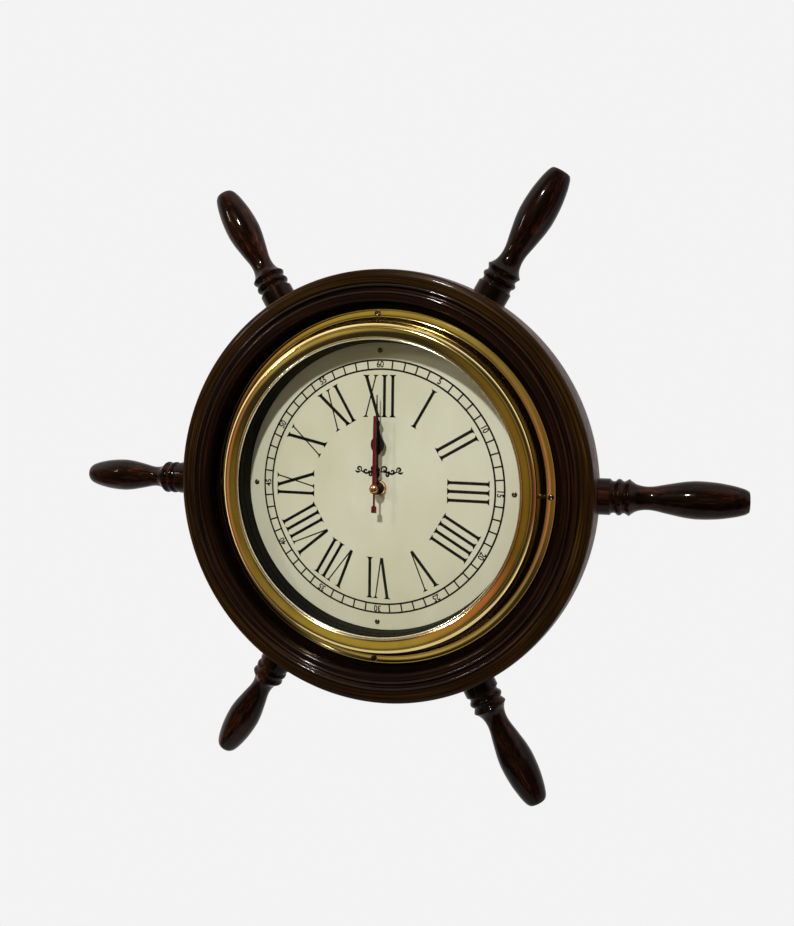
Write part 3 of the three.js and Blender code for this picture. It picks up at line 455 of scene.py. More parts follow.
WOOD = ring_wood()
# The last colour of each is tarnish in patches, which also stands in for painted warm reflections.
BRASS = brass_look("brass", (0.78, 0.61, 0.27), 0.1, (0.68, 0.5, 0.19))
# A paler copy of the brass for the bezel's lip: a painted highlight along the lip.
LIP_HIGHLIGHT_BRASS = brass_look("brass_lip_painted_highlight", (0.9, 0.86, 0.74), 0.14, (0.82, 0.76, 0.6))
COPPER = brass_look("copper_cap", (0.75, 0.4, 0.2), 0.2, (0.5, 0.26, 0.12))
IVORY = dial_paint()
PRINT = grained("dial_print", srgb(12, 12, 13), 0.5, depth=0.005, specular_ior_level=0.1)
BLACK = grained("black_matt", srgb(4, 4, 4), 0.7, size=700.0, specular_ior_level=0.08)
BACK = grained("ring_back", srgb(38, 20, 14), 0.55, size=160.0, spread=0.4, ior=1.25,
               specular_ior_level=0.1, specular_tint=(0.6, 0.4, 0.35, 1.0))
SIDE = grained("ring_side", srgb(54, 29, 20), 0.45, size=160.0, spread=0.4, ior=1.3,
               specular_ior_level=0.4, specular_tint=(0.85, 0.6, 0.52, 1.0))
HAND_BLACK = grained("hand_black", srgb(12, 12, 14), 0.28, depth=0.004, coat_weight=0.2)
HAND_RED = grained("hand_red", srgb(86, 14, 20), 0.18, depth=0.004, coat_weight=0.6, coat_roughness=0.05)
DARK_METAL = grained("dark_metal", srgb(96, 84, 68), 0.25, metallic=0.95)
ZINC = grained("zinc", srgb(176, 178, 180), 0.34, size=700.0, metallic=0.95)
SCREW_ZINC = grained("screw_zinc", srgb(128, 126, 120), 0.28, metallic=0.95)
KNOB_GREY = grained("knob_grey", srgb(132, 134, 136), 0.45, size=1400.0)
MOULDED = grained("moulded_black", srgb(26, 27, 29), 0.5, size=1400.0, depth=0.03)
NYLON = grained("nylon", srgb(228, 226, 216), 0.45)
RUBBER = grained("rubber", srgb(24, 24, 24), 0.8, depth=0.03)
FIBREBOARD = grained("fibreboard", srgb(22, 21, 20), 0.7, size=420.0, depth=0.08, spread=0.3)
WINDING = grained("winding", srgb(150, 78, 40), 0.3, metallic=0.7)
BOARD_GREEN = grained("board_green", srgb(34, 86, 54), 0.35, coat_weight=0.3)
CELL = grained("cell_sleeve", srgb(52, 92, 150), 0.3, size=600.0, coat_weight=0.4)
GLASS = clear_glass()


# Wooden ring


def ring_profile():
    """Section of the ring, from the back of the board's rebate round the front to the back rim."""
    foot = RING_Y + 1.7
    inner, outer = BEADS
    rebate, bore = BOARD_R + FIT, DIAL_R + FIT

    def bead(at):
        return [(at - BEAD, foot), *arc((at, RING_Y + BEAD), BEAD, 180, 360, 10), (at + BEAD, foot)]

    step = bow((RECESS + 0.2, RING_Y + 3.0), (inner - 1.7, RING_Y + 0.8), 0.8, 8)
    cove = bow((inner + 1.0, foot), (outer - 1.0, foot), -1.4, 8)[1:-1]
    band = bow((outer + 1.8, RING_Y + 0.9), (RIM - ROUNDING, RING_Y + 0.7), 0.55, 10)
    corner = bow((RIM - 3.1, RING_Y + 0.9), (RIM - 0.1, RING_Y + CORNER - 0.1), 0.9, 6)
    side = bow((RIM, RING_Y + CORNER + 0.1), (RIM, -4.0), 1.95, 18)[1:]
    rounding = bow((RIM - 0.2, -3.4), (RIM - 3.5, -LIFT), 0.8, 5)
    return [
        (rebate, -0.4), (rebate, BOARD_FRONT), (bore, BOARD_FRONT), (bore, SPACER_BACK),
        (RING_BORE, SPACER_BACK), (RING_BORE, FLANGE_BACK), (RECESS, FLANGE_BACK), (RECESS, RING_Y + 3.3),
        *step, (inner - 1.4, RING_Y + 1.9), *bead(inner), *cove, *bead(outer), (outer + 1.5, RING_Y + 1.9),
        *band, *corner, *side, *rounding, (rebate + 0.4, 0.0),
    ]


def wheel_ring():
    layers = ("ring_front_layer", "ring_back_layer")
    return piece("ring_turned", *lathe(ring_profile(), WIDE), "ring_wood", replaces=layers)


def carve(obj, points, faces):
    """Cuts a block of points in mm, in the piece's own frame, out of the piece."""
    cutter = linked("cutter", solid("cutter", points, faces))
    cutter.matrix_world = obj.matrix_world.copy()
    bpy.context.view_layer.update()
    cut = obj.modifiers.new("cut", "BOOLEAN")
    cut.object = cutter
    cut.solver = "EXACT"
    graph = bpy.context.evaluated_depsgraph_get()
    mesh = bpy.data.meshes.new_from_object(obj.evaluated_get(graph))
    obj.modifiers.remove(cut)
    obj.data = mesh
    bpy.data.objects.remove(cutter)


def box(low, high):
    """Points and faces of a box between two corners."""
    xs, ys, zs = zip(low, high)
    points = [(x, y, z) for x in xs for y in ys for z in zs]
    faces = [(0, 1, 3, 2), (4, 5, 7, 6), (0, 1, 5, 4), (2, 3, 7, 6), (0, 2, 6, 4), (1, 3, 7, 5)]
    return points, faces


KEYHOLE = 4.6  # radius of the round hole in the hanger plate
DROP = 7.5  # from the nail's place in the slot down to the middle of that hole
POCKET = 9.5  # depth of the pocket for the nail's head
PAST = 5.0  # how far a cutter stands out of what it cuts


def ring_recess(ring):
    """Cuts the hanger plate's recess and the nail's pocket into the ring's back."""
    low, high = limits("hanger_plate")
    foot = HANG - DROP - KEYHOLE
    carve(ring, *box((low[0] - FIT, low[1], low[2] - FIT), (high[0] + FIT, PAST, high[2] + FIT)))
    carve(ring, *box((-KEYHOLE, -POCKET, foot), (KEYHOLE, PAST, HANG + KEYHOLE)))
    ring.data.set_sharp_from_angle(angle=math.radians(SHARP))


def ring_looks(ring):
    """Gloss on the turned front, satin on the side and the back, and matt black round the dial."""
    WOOD.on(ring)
    for look in (SIDE, BACK, BLACK):
        ring.data.materials.append(look.material)
    for face in ring.data.polygons:
        x, y, z = (c / MM for c in face.center)
        r = math.hypot(x, z)
        if r > RIM - ROUNDING and y > RING_Y + CORNER:
            face.material_index = 1
        elif y > -LIFT:
            face.material_index = 2
        elif r < BOARD_R:
            face.material_index = 3


# Handles


# Angle clockwise from the top, and extra length of the collar, of each handle
HANDLES = [(30, 1), (89.5, 0), (151, 0), (211, 3), (270, 6), (329.5, 5)]
HANDLE_SEAT = RIM - 0.9  # radius at which the collars start
TENON = 21.7  # length of the tenon before the collar


def handle_profile(extra):
    """Half outline of a handle as (radius, distance from the hands' axis)."""
    inner = HANDLE_SEAT + 14.2 + extra
    outer = inner + 8.0
    ridge = outer + 4.0
    neck = ridge + 15.0
    top = neck + 37.0
    end = top + 36.6
    barrel = spline([(13.0, ridge + 2.2), (11.0, ridge + 5.4), (9.75, ridge + 10.0), (9.45, neck),
                     (10.0, neck + 5.0), (11.4, neck + 11.5), (12.9, neck + 19.0), (14.2, neck + 26.0),
                     (15.0, neck + 33.0), (15.1, top), (14.95, top + 6.0), (14.3, top + 14.0),
                     (13.2, top + 21.0), (11.7, top + 28.0), (9.9, top + 33.6), (8.6, end - 0.8)], 4)
    return [
        (0.0, HANDLE_SEAT - TENON), (8.0, HANDLE_SEAT - TENON), (8.0, HANDLE_SEAT), (14.9, HANDLE_SEAT),
        (14.9, inner - 3.6), *arc((14.1, inner - 3.4), 0.8, 10, 70, 3), (13.3, inner - 1.6),
        *bow((13.2, inner - 1.2), (13.2, inner + 1.0), -0.35, 4),
        *bow((13.3, inner + 1.4), (13.3, outer - 1.2), 1.6, 10),
        *bow((13.2, outer - 0.9), (13.3, outer + 0.9), -0.3, 4),
        (14.2, ridge - 1.6), (14.8, ridge - 0.5), (14.9, ridge), (14.6, ridge + 0.5), (13.7, ridge + 1.3),
        *barrel, (8.2, end - 0.25), (7.4, end), (0.0, end),
    ]


def handle(number, degrees, extra):
    """A handle turned about its own axis, then swung round to its place in the ring."""
    swing = Matrix.Rotation(math.radians(degrees), 3, "Y")
    points, faces = lathe(handle_profile(extra), closed=False)
    points = [swing @ Vector((x, -z, y)) for x, y, z in points]
    place = Matrix.Translation((0, HANDLE_Y * MM, -HANG * MM))
    node = f"handle_{number}"
    obj = piece(f"spindle_{number}", points, faces, "handle_wood", place=place, replaces=(node,))
    handle_wood(f"handle_wood_{number}", degrees).on(obj)


# Bezel, glass and spacer


LIP = 129.7  # radius inside which the bezel's lip is drawn in paler brass, a painted highlight
SCREW_SEAT = FLANGE_BACK - 2.8  # floor of the flange's hollows for the screws


def bezel_profile():
    """Section of the spun bezel: lip, roll, shoulder, flared wall and flat flange."""
    pane, foot = GLASS_FRONT, FLANGE_BACK
    lip = arc((129.3, pane - 0.7), 0.9, 180, 325, 9)
    roll = spline([(130.2, pane - 1.7), (131.6, pane - 2.45), (133.5, pane - 3.15), (135.6, pane - 3.8),
                   (137.6, pane - 4.25), (138.5, pane - 4.3), (139.4, pane - 4.05), (140.7, pane - 3.35),
                   (141.7, pane - 2.65), (142.3, pane - 1.9), (142.6, pane - 1.0)], 4)
    wall = spline([(142.8, pane + 0.2), (143.5, foot - 12.5), (144.5, foot - 9.0), (145.8, foot - 6.3),
                   (146.8, foot - 4.8), (147.5, foot - 3.8), (148.4, foot - 3.25)], 4)
    flange = bow((149.0, foot - 3.05), (155.0, foot - 2.7), 0.27, 14)
    edge = [*arc((FLANGE_R - 0.8, foot - 2.1), 0.75, 285, 370, 6), (FLANGE_R, foot)]
    under_wall = spline([(144.2, foot - 4.3), (143.3, foot - 6.7), (142.1, foot - 10.1),
                         (141.3, foot - 13.5), (140.9, pane - 0.2), (140.6, pane - 2.0)], 3)
    under_roll = bow((138.6, pane - 3.1), (131.4, pane - 0.2), -1.2, 8)
    return [
        (128.4, pane), *lip, *roll, *wall, *flange, *edge, (144.6, foot), (144.6, foot - 1.9),
        *under_wall, (139.6, pane - 2.7), *under_roll, (130.6, pane),
    ]


def drum(centre, radius, y0, y1):
    """Points and faces of a cylinder along Y about a centre of (x, z)."""
    x, z = centre
    sides = 40
    points = [(x + dx, y, z + dz) for y in (y0, y1) for dx, dz in circle(radius, sides)]
    faces = [tuple(range(sides)), tuple(range(sides, 2 * sides)), *sleeve(sides)]
    return points, faces


def bezel():
    """The spun bezel with a hollow for each screw, in brass with its lip in a paler copy of it that paints a
    highlight line.
    """
    sharp = 50
    obj = piece("bezel_spun", *lathe(bezel_profile(), WIDE), "brass", sharp=sharp, replaces=("bezel",))
    hollow = reach("bezel_screw_1") + FIT
    for number in (1, 2, 3, 4):
        centre = middle(f"bezel_screw_{number}")
        carve(obj, *drum(centre, hollow, SCREW_SEAT, SCREW_SEAT - PAST))
    obj.data.set_sharp_from_angle(angle=math.radians(sharp))
    BRASS.on(obj)
    obj.data.materials.append(LIP_HIGHLIGHT_BRASS.material)
    # The lip's faces get the paler brass, which paints a highlight line along the lip.
    for face in obj.data.polygons:
        x, y, z = (c / MM for c in face.center)
        if math.hypot(x, z) < LIP and y < GLASS_FRONT - 0.1:
            face.material_index = 1


def glass():
    rim, ground = reach("glass"), 0.5
    profile = [
        (0, GLASS_BACK), (rim - ground, GLASS_BACK), (rim, GLASS_BACK - ground),
        (rim, GLASS_FRONT + ground), (rim - ground, GLASS_FRONT), (0, GLASS_FRONT),
    ]
    obj = piece("glass_pane", *lathe(profile, WIDE, closed=False), "glass", replaces=("glass",))
    GLASS.on(obj)


def spacer():
    wide, bore, edge = reach("spacer_ring"), DIAL_R + 0.8, 0.2
    profile = [
        (bore + edge, GLASS_BACK), (wide - edge, GLASS_BACK), (wide, GLASS_BACK + edge),
        (wide, SPACER_BACK), (bore, SPACER_BACK), (bore, GLASS_BACK + edge),
    ]
    obj = piece("spacer_turned", *lathe(profile, WIDE), "black_plastic", replaces=("spacer_ring",))
    BLACK.on(obj)


# Screws


def screw(node, look, slot, seat, way, rise, shank, turn):
    """An oval head with a cross recess, as rings of points over the head, on a pointed shank.

    The way is -1 for a head that faces the viewer and 1 for one that faces the wall.
    """
    x0, z0 = middle(node)
    low, high = limits(node)
    head = (high[0] - low[0]) / 2
    point = high[1] if way < 0 else low[1]
    rings, sides = 14, 48
    width, arm, deep = 0.17 * head, 0.62 * head, 0.8 * rise
    angles = [2 * math.pi * i / sides for i in range(sides)]
    points, faces = [(x0, seat + way * 0.25 * rise, z0)], []
    for k in range(1, rings + 1):
        q = k / rings
        r = head * q
        dome = rise * math.sqrt(1 - 0.86 * q * q)
        for a in angles:
            near, far = sorted((abs(r * math.cos(a + turn)), abs(r * math.sin(a + turn))))
            sink = deep * (1 - 0.75 * far / arm) if near < width and far < arm else 0.0
            points.append((x0 + r * math.cos(a), seat + way * max(dome - sink, 0.05), z0 + r * math.sin(a)))
    faces += [(0, 1 + i, 1 + (i + 1) % sides) for i in range(sides)]
    under = [(head, seat), (shank, seat), (shank, point + way * 2 * shank), (shank * 0.3, point)]
    for r, y in under:
        points += [(x0 + r * math.cos(a), y, z0 + r * math.sin(a)) for a in angles]
    starts = [1 + k * sides for k in range(rings + len(under))]
    for a, b in zip(starts, starts[1:]):
        faces += [(a + i, b + i, b + (i + 1) % sides, a + (i + 1) % sides) for i in range(sides)]
    points.append((x0, point, z0))
    tip = len(points) - 1
    faces += [(starts[-1] + i, tip, starts[-1] + (i + 1) % sides) for i in range(sides)]
    obj = piece(f"{node}_head", points, faces, slot, sharp=28, replaces=(node,))
    look.on(obj)


def screws():
    """Four screws each in bezel, dial and board and two in the hanger, each turned another way."""
    dark, bright = (DARK_METAL, "dark_screws"), (SCREW_ZINC, "steel")
    plate = back("hanger_plate")
    for i in range(4):
        turn = 0.35 + 0.9 * i
        screw(f"bezel_screw_{i + 1}", *dark, SCREW_SEAT, way=-1, rise=1.5, shank=1.5, turn=turn)
        screw(f"dial_screw_{i + 1}", *dark, DIAL_Y, way=-1, rise=1.0, shank=1.1, turn=turn + 0.6)
        screw(f"board_screw_{i + 1}", *bright, BOARD_BACK, way=1, rise=1.6, shank=1.5, turn=turn + 1.1)
    for i in range(2):
        screw(f"hanger_screw_{i + 1}", *bright, plate, way=1, rise=0.7, shank=1.2, turn=0.4 + i)


# Dial


def dial():
    profile = [(0, BOARD_FRONT), (DIAL_R - 0.2, BOARD_FRONT), (DIAL_R, BOARD_FRONT - 0.2),
               (DIAL_R, DIAL_Y + 0.15), (DIAL_R - 0.15, DIAL_Y), (0, DIAL_Y)]
    obj = piece("dial_disc", *lathe(profile, WIDE, closed=False), "dial", replaces=("dial_plate",))
    IVORY.on(obj)


PRINT_BACK = DIAL_Y - 0.005
PRINT_FRONT = DIAL_Y - 0.03
TRACK_OUT = 112.3  # radii of the minute track's two circles
TRACK_IN = 104.4
LINE = 1.6  # width of the circles
TICK = 1.35  # width of the strokes between them


def flat(shape):
    """A printed shape from its outline of (x, z)."""
    return slab(shape, PRINT_BACK, PRINT_FRONT)


def printed(name, parts):
    """Parts of the dial's print as one piece."""
    obj = piece(name, *merged(parts), "dial")
    PRINT.on(obj)


def turned(shape, degrees, out):
    """An upright shape moved out from the centre, then turned clockwise."""
    a = math.radians(degrees)
    c, s = math.cos(a), math.sin(a)
    return [(x * c + (z + out) * s, -x * s + (z + out) * c) for x, z in shape]


def annulus(inner, outer):
    points = [(x, PRINT_FRONT, z) for r in (inner, outer) for x, z in circle(r, WIDE)]
    return points, sleeve(WIDE)


def minute_track():
    """Two circles, and strokes between them at the minutes that have no number."""
    half = TICK / 2
    tick = [(-half, TRACK_IN), (half, TRACK_IN), (half, TRACK_OUT), (-half, TRACK_OUT)]
    parts = [annulus(r - LINE / 2, r + LINE / 2) for r in (TRACK_OUT, TRACK_IN)]
    parts += [flat(turned(tick, 6 * minute, 0)) for minute in range(60) if minute % 5]
    printed("dial_track", parts)


NUMERAL_LOW, NUMERAL_HIGH = 62.4, 99.4  # radii between which the numerals stand
NUMERAL = NUMERAL_HIGH - NUMERAL_LOW  # their height
THICK, THIN = 2.7, 1.2  # widths of their strokes
ADVANCE = {"I": 7.6, "V": 15.4, "X": 16.2}  # room that each letter takes
HOURS = ["XII", "I", "II", "III", "IIII", "V", "VI", "VII", "VIII", "IX", "X", "XI"]


def serif(at, end, way, stroke, width, slope):
    """A bracketed serif across a stroke's end; way is 1 at the top and -1 at the foot."""
    thin, depth = 0.35, 2.4
    bracket = []
    for i in range(1, 6):
        t = i / 5
        half = stroke / 2 + (width / 2 - stroke / 2) * (1 - t) ** 2.4
        bracket.append((half, thin + (depth - thin) * t))
    right = [(at - way * slope * down + half, end - way * down) for half, down in bracket]
    left = [(at - way * slope * down - half, end - way * down) for half, down in reversed(bracket)]
    return [(at - width / 2, end), (at + width / 2, end), (at + width / 2, end - way * thin),
            *right, *left, (at - width / 2, end - way * thin)]


def limb(low, high, stroke, feet=(True, True), width=6.0):
    """A straight stroke from x = low at the foot to x = high at the top, with its serifs."""
    slope = (high - low) / NUMERAL
    half = stroke / 2 * math.hypot(1, slope)
    bottom, top = 0.2, NUMERAL - 0.2
    xb, xt = low + slope * bottom, low + slope * top
    shapes = [[(xb - half, bottom), (xb + half, bottom), (xt + half, top), (xt - half, top)]]
    if feet[0]:
        shapes.append(serif(low, 0.0, -1, 2 * half, width, slope))
    if feet[1]:
        shapes.append(serif(high, NUMERAL, 1, 2 * half, width, slope))
    return shapes


def letter(name, at):
    """Strokes of I, V or X round x = at."""
    if name == "I":
        return limb(at, at, THICK)
    if name == "V":
        return (limb(at + 0.5, at - 5.4, THICK + 0.1, (False, True))
                + limb(at + 1.0, at + 5.9, THIN, (False, True), 4.8))
    return limb(at + 6.2, at - 5.3, THICK + 0.2) + limb(at - 5.6, at + 4.0, THIN, width=4.9)


def numerals():
    parts = []
    for hour, text in enumerate(HOURS):
        x = -sum(ADVANCE[c] for c in text) / 2
        for c in text:
            strokes = letter(c, x + ADVANCE[c] / 2)
            parts += [flat(turned(stroke, 30 * hour, NUMERAL_LOW)) for stroke in strokes]
            x += ADVANCE[c]
    printed("dial_numerals", parts)


NUMBER_SIZE = 7.8
NUMBER_WIDTH = 0.86  # share of the typeface's width
NUMBER_WEIGHT = 0.2  # how much bolder than the typeface


def minute_numbers():
    """The numbers in the track, as outlines of the built-in typeface, tops outward."""
    parts = []
    out = (TRACK_IN + TRACK_OUT) / 2
    for k in range(12):
        curve = bpy.data.curves.new(f"number_{k}", "FONT")
        curve.body = str(5 * k if k else 60)
        curve.size = NUMBER_SIZE
        curve.align_x = "CENTER"
        curve.align_y = "CENTER"
        curve.offset = NUMBER_WEIGHT
        text = linked(f"number_{k}", curve)
        bpy.context.view_layer.update()
        graph = bpy.context.evaluated_depsgraph_get()
        mesh = bpy.data.meshes.new_from_object(text.evaluated_get(graph))
        shape = turned([(v.co.x * NUMBER_WIDTH, v.co.y) for v in mesh.vertices], 30 * k, out)
        parts.append(([(x, PRINT_FRONT, z) for x, z in shape], [tuple(p.vertices) for p in mesh.polygons]))
        bpy.data.objects.remove(text)
    printed("dial_minute_numbers", parts)


def ribbon(line, widths):
    """A flat band along a line of (x, z), with a half width at each point."""
    left, right = [], []
    for i, (x, z) in enumerate(line):
        x0, z0 = line[max(i - 1, 0)]
        x1, z1 = line[min(i + 1, len(line) - 1)]
        length = math.hypot(x1 - x0, z1 - z0)
        nx, nz = -(z1 - z0) / length, (x1 - x0) / length
        w = widths[i]
        left.append((x + nx * w, z + nz * w))
        right.append((x - nx * w, z - nz * w))
    return left + right[::-1]


def curl(x, z, size, start, sweep, lead):
    """A spiral that winds in to its eye at (x, z), led in by a straight end."""
    line, widths = [lead], [0.12]
    last = 25
    for i in range(last + 1):
        t = i / last
        a = math.radians(start + sweep * t)
        r = size * (1 - t) ** 0.8 + 0.25
        line.append((x + r * math.cos(a), z + r * math.sin(a)))
        widths.append(0.25 + 0.62 * math.sin(math.pi * (0.12 + 0.88 * t)))
    return ribbon(line, widths)


def swelling(line, least, most):
    """A band along the line that is widest in its middle."""
    last = len(line) - 1
    return ribbon(line, [least + most * math.sin(math.pi * i / last) for i in range(last + 1)])


def flourish():
    """A plain symmetrical scroll of spirals and leaves between XII and the hands' axis."""
    half = [
        curl(5.2, 16.6, 2.6, 200, -420, (1.0, 14.0)),
        curl(12.2, 14.6, 2.3, 170, 400, (6.4, 13.2)),
        curl(18.6, 16.4, 2.0, 215, -400, (13.0, 13.4)),
        curl(8.2, 11.8, 1.5, 100, 380, (4.0, 13.6)),
        swelling(spline([(17.0, 14.6), (20.0, 13.4), (22.6, 14.6)], 6), 0.2, 0.75),
        swelling(spline([(0.2, 13.7), (6.0, 14.6), (12.0, 12.7), (17.5, 14.9)], 8), 0.25, 0.65),
    ]
    shapes = [[(side * x, z) for x, z in shape] for side in (-1, 1) for shape in half]
    shapes.append([(0, 18.4), (1.0, 16.0), (0, 13.2), (-1.0, 16.0)])
    shapes.append([(0, 12.6), (0.7, 11.2), (0, 9.4), (-0.7, 11.2)])
    printed("dial_scroll", [flat(shape) for shape in shapes])


# Nut and hands


def nut():
    """The brass nut on the post, and the flat washer under it."""
    wide, top, base = reach("dial_nut"), front("dial_nut"), back("dial_nut")
    section = [(4.15, base), (wide - 0.4, base), (wide, base - 0.4), (wide, top + 0.6),
               (wide - 0.5, top + 0.1), (4.6, top), (4.15, top + 0.4)]
    obj = piece("nut_turned", *lathe(section), "brass", replaces=("dial_nut",))
    wide = reach("nut_washer")
    section = [(4.3, DIAL_Y), (wide - 0.1, DIAL_Y), (wide, DIAL_Y - 0.1), (wide, base + 0.1),
               (wide - 0.1, base), (4.3, base)]
    washer = piece("washer_turned", *lathe(section), "brass", replaces=("nut_washer",))
    BRASS.on(obj, washer)


def spade(stem, knob_at, knob, bulb_at, bulb, tip, end, hub):
    """Outline of a spade hand, as (x, z)."""
    shares = [(-1.45, 0.2), (-1.2, 0.36), (-0.95, 0.63), (-0.6, 0.88), (0, 1), (0.55, 0.89),
              (0.87, 0.67), (1.35, 0.48), (1.8, 0.35), (2.3, 0.26)]
    leaf = spline([(bulb * w, bulb_at + bulb * p) for p, w in shares], 5)
    diamond = spline([(stem, knob_at - knob), (knob * 0.9, knob_at - knob * 0.35), (knob, knob_at),
                      (knob * 0.9, knob_at + knob * 0.35), (stem, knob_at + knob)], 4)
    right = [(stem, hub * 0.6), *diamond, (stem * 0.85, leaf[0][1] - stem), *leaf, (tip, end)]
    return right + [(-x, z) for x, z in reversed(right)]


def hand(name, node, body, bore, **shape):
    """A black spade hand in the limits of its solid: the bevelled blade and its boss."""
    low, high = limits(node)
    y0, y1 = low[1], high[1]
    hub = -low[2]
    outline = spade(end=high[2], hub=hub, **shape)
    blade_shape = slab(outline, y1 - 0.05, y0 + 0.05)
    blade = piece(name, *blade_shape, "black_hands", body, sharp=30, replaces=(node,))
    bevelled(blade, 0.14)
    disc = [(bore, y1), (hub - 0.15, y1), (hub, y1 - 0.15), (hub, y0 + 0.12), (hub - 0.2, y0), (bore, y0)]
    boss = piece(f"{name}_boss", *lathe(disc), "black_hands", body)
    HAND_BLACK.on(blade, boss)


def hands():
    hand("hour_spade", "hour_hand", "hour", bore=2.8,
         stem=1.3, knob_at=12.3, knob=2.7, bulb_at=38.5, bulb=6.3, tip=0.4)
    hand("minute_spade", "minute_hand", "minute", bore=1.9,
         stem=1.3, knob_at=18.0, knob=2.2, bulb_at=57.0, bulb=3.1, tip=0.5)


def second_hand():
    """A tapered red blade with a raised middle line, a tail and a square paddle, on its boss."""
    low, high = limits("second_hand")
    hub, face, end = high[0], low[1], high[1]
    tail, tip = low[2], high[2]
    rear = face + 0.6
    # Place along the blade and half its width there
    sections = [(tail, 2.4), (tail + 0.3, 2.4), (-15.4, 2.4), (-14.6, 0.95), (-3.0, 0.95), (0.0, 1.5),
                (3.0, 1.9), (40.0, 1.6), (tip - 0.2, 1.35), (tip, 1.3)]
    points, faces = [], []
    for z, w in sections:
        ridge = rear - 0.35 if z in (tail, tip) else face
        points += [(-w, rear, z), (-w, rear - 0.3, z), (0.0, ridge, z), (w, rear - 0.3, z), (w, rear, z)]
    last = 5 * (len(sections) - 1)
    for a in range(0, last, 5):
        faces += [(a + i, a + (i + 1) % 5, a + 5 + (i + 1) % 5, a + 5 + i) for i in range(5)]
    faces += [(4, 3, 2, 1, 0), tuple(last + i for i in range(5))]
    blade = piece("seconds_blade", points, faces, "red_hand", "seconds", sharp=20, replaces=("second_hand",))
    disc = [(0, rear), (hub - 0.2, rear), (hub, rear - 0.2), (hub - 0.1, rear - 0.5), (hub - 0.4, face),
            (0, face)]
    boss = piece("seconds_boss", *lathe(disc, closed=False), "red_hand", "seconds")
    tube = [(0.8, rear), (1.5, rear), (1.5, end - 0.1), (1.4, end), (0.8, end)]
    pipe = piece("seconds_sleeve", *lathe(tube), "red_hand", "seconds")
    HAND_RED.on(blade, boss, pipe)


def cap():
    """The domed copper cap on the seconds hand."""
    wide, top, seat = reach("hand_cap"), front("hand_cap"), back("hand_cap")
    dome = spline([(wide - 0.05, seat - 0.6), (wide - 0.5, seat - 1.35), (2.3, seat - 1.95),
                   (1.2, top + 0.1), (0.4, top)], 4)
    profile = [(0, seat), (wide - 0.1, seat), (wide, seat - 0.2), *dome, (0, top)]
    obj = piece("cap_dome", *lathe(profile, closed=False), "copper_cap", "seconds", replaces=("hand_cap",))
    COPPER.on(obj)


# The board behind the dial, and the solids that stay as they are


def back_board():
    edge, bore = 0.4, 4.3
    profile = [
        (bore, BOARD_BACK), (BOARD_R - edge, BOARD_BACK), (BOARD_R, BOARD_BACK - edge),
        (BOARD_R, BOARD_FRONT + edge), (BOARD_R - edge, BOARD_FRONT), (bore, BOARD_FRONT),
    ]
    obj = piece("board_round", *lathe(profile, WIDE), "black_paint", replaces=("dial_board",))
    FIBREBOARD.on(obj)


# Look, and width of the bevel on its edges, of each solid that stays
KEPT = {
    "movement_front_case": (MOULDED, 0.6),
    "movement_rear_case": (MOULDED, 0.5),
    "middle_plate": (NYLON, 0.2),
    "threaded_post": (BRASS, 0.15),
    "rubber_washer": (RUBBER, 0.2),
    "hour_wheel": (NYLON, 0),
    "minute_wheel": (NYLON, 0),
    "reduction_wheel": (NYLON, 0),
    "setting_knob": (KNOB_GREY, 0.25),
    "third_wheel": (NYLON, 0),
    "second_wheel": (NYLON, 0),
    "idler_wheel": (NYLON, 0),
    "rotor": (ZINC, 0),
    "coil": (WINDING, 0.3),
    "coil_core": (ZINC, 0.1),
    "stator": (ZINC, 0.1),
    "circuit_board": (BOARD_GREEN, 0.1),
    "battery": (CELL, 0.2),
    "contact_plus": (ZINC, 0.1),
    "contact_minus": (ZINC, 0.1),
    "hanger_plate": (ZINC, 0.25),
}


def kept_nodes():
    for name, (look, edge) in KEPT.items():
        look.on(nodes[name])
        if edge:
            bevelled(nodes[name], edge)


# Stage, light and camera


PALE = 0.896  # brightness of the backdrop
FLOOR_R = 1.0  # the floor's radius, height and share of the backdrop's brightness
FLOOR_Z = -1.3
FLOOR_GLOW = 0.85


def floor():
    """A round pale floor below the clock."""
    sides = 96
    mesh = bpy.data.meshes.new("floor")
    mesh.from_pydata([(x, y, FLOOR_Z) for x, y in circle(FLOOR_R, sides)], [], [tuple(range(sides))])
    ground = linked("floor", mesh)
    look = Look("floor_pale", base_color=(0.6, 0.6, 0.6, 1), roughness=0.9)
    path = look.add("ShaderNodeLightPath")
    seen = look.math("MAXIMUM", path.outputs["Is Camera Ray"], path.outputs["Is Glossy Ray"])
    seen = look.math("MAXIMUM", seen, path.outputs["Is Transmission Ray"])
    glow = look.add("ShaderNodeEmission", {"Color": (1, 1, 1, 1), "Strength": PALE}).outputs[0]
    share = look.math("MULTIPLY", seen, FLOOR_GLOW)
    mixer = look.add("ShaderNodeMixShader", {0: share, 1: look.shader.outputs[0], 2: glow})
    look.feed(look.tree.nodes["Material Output"].inputs["Surface"], mixer.outputs[0])
    look.on(ground)


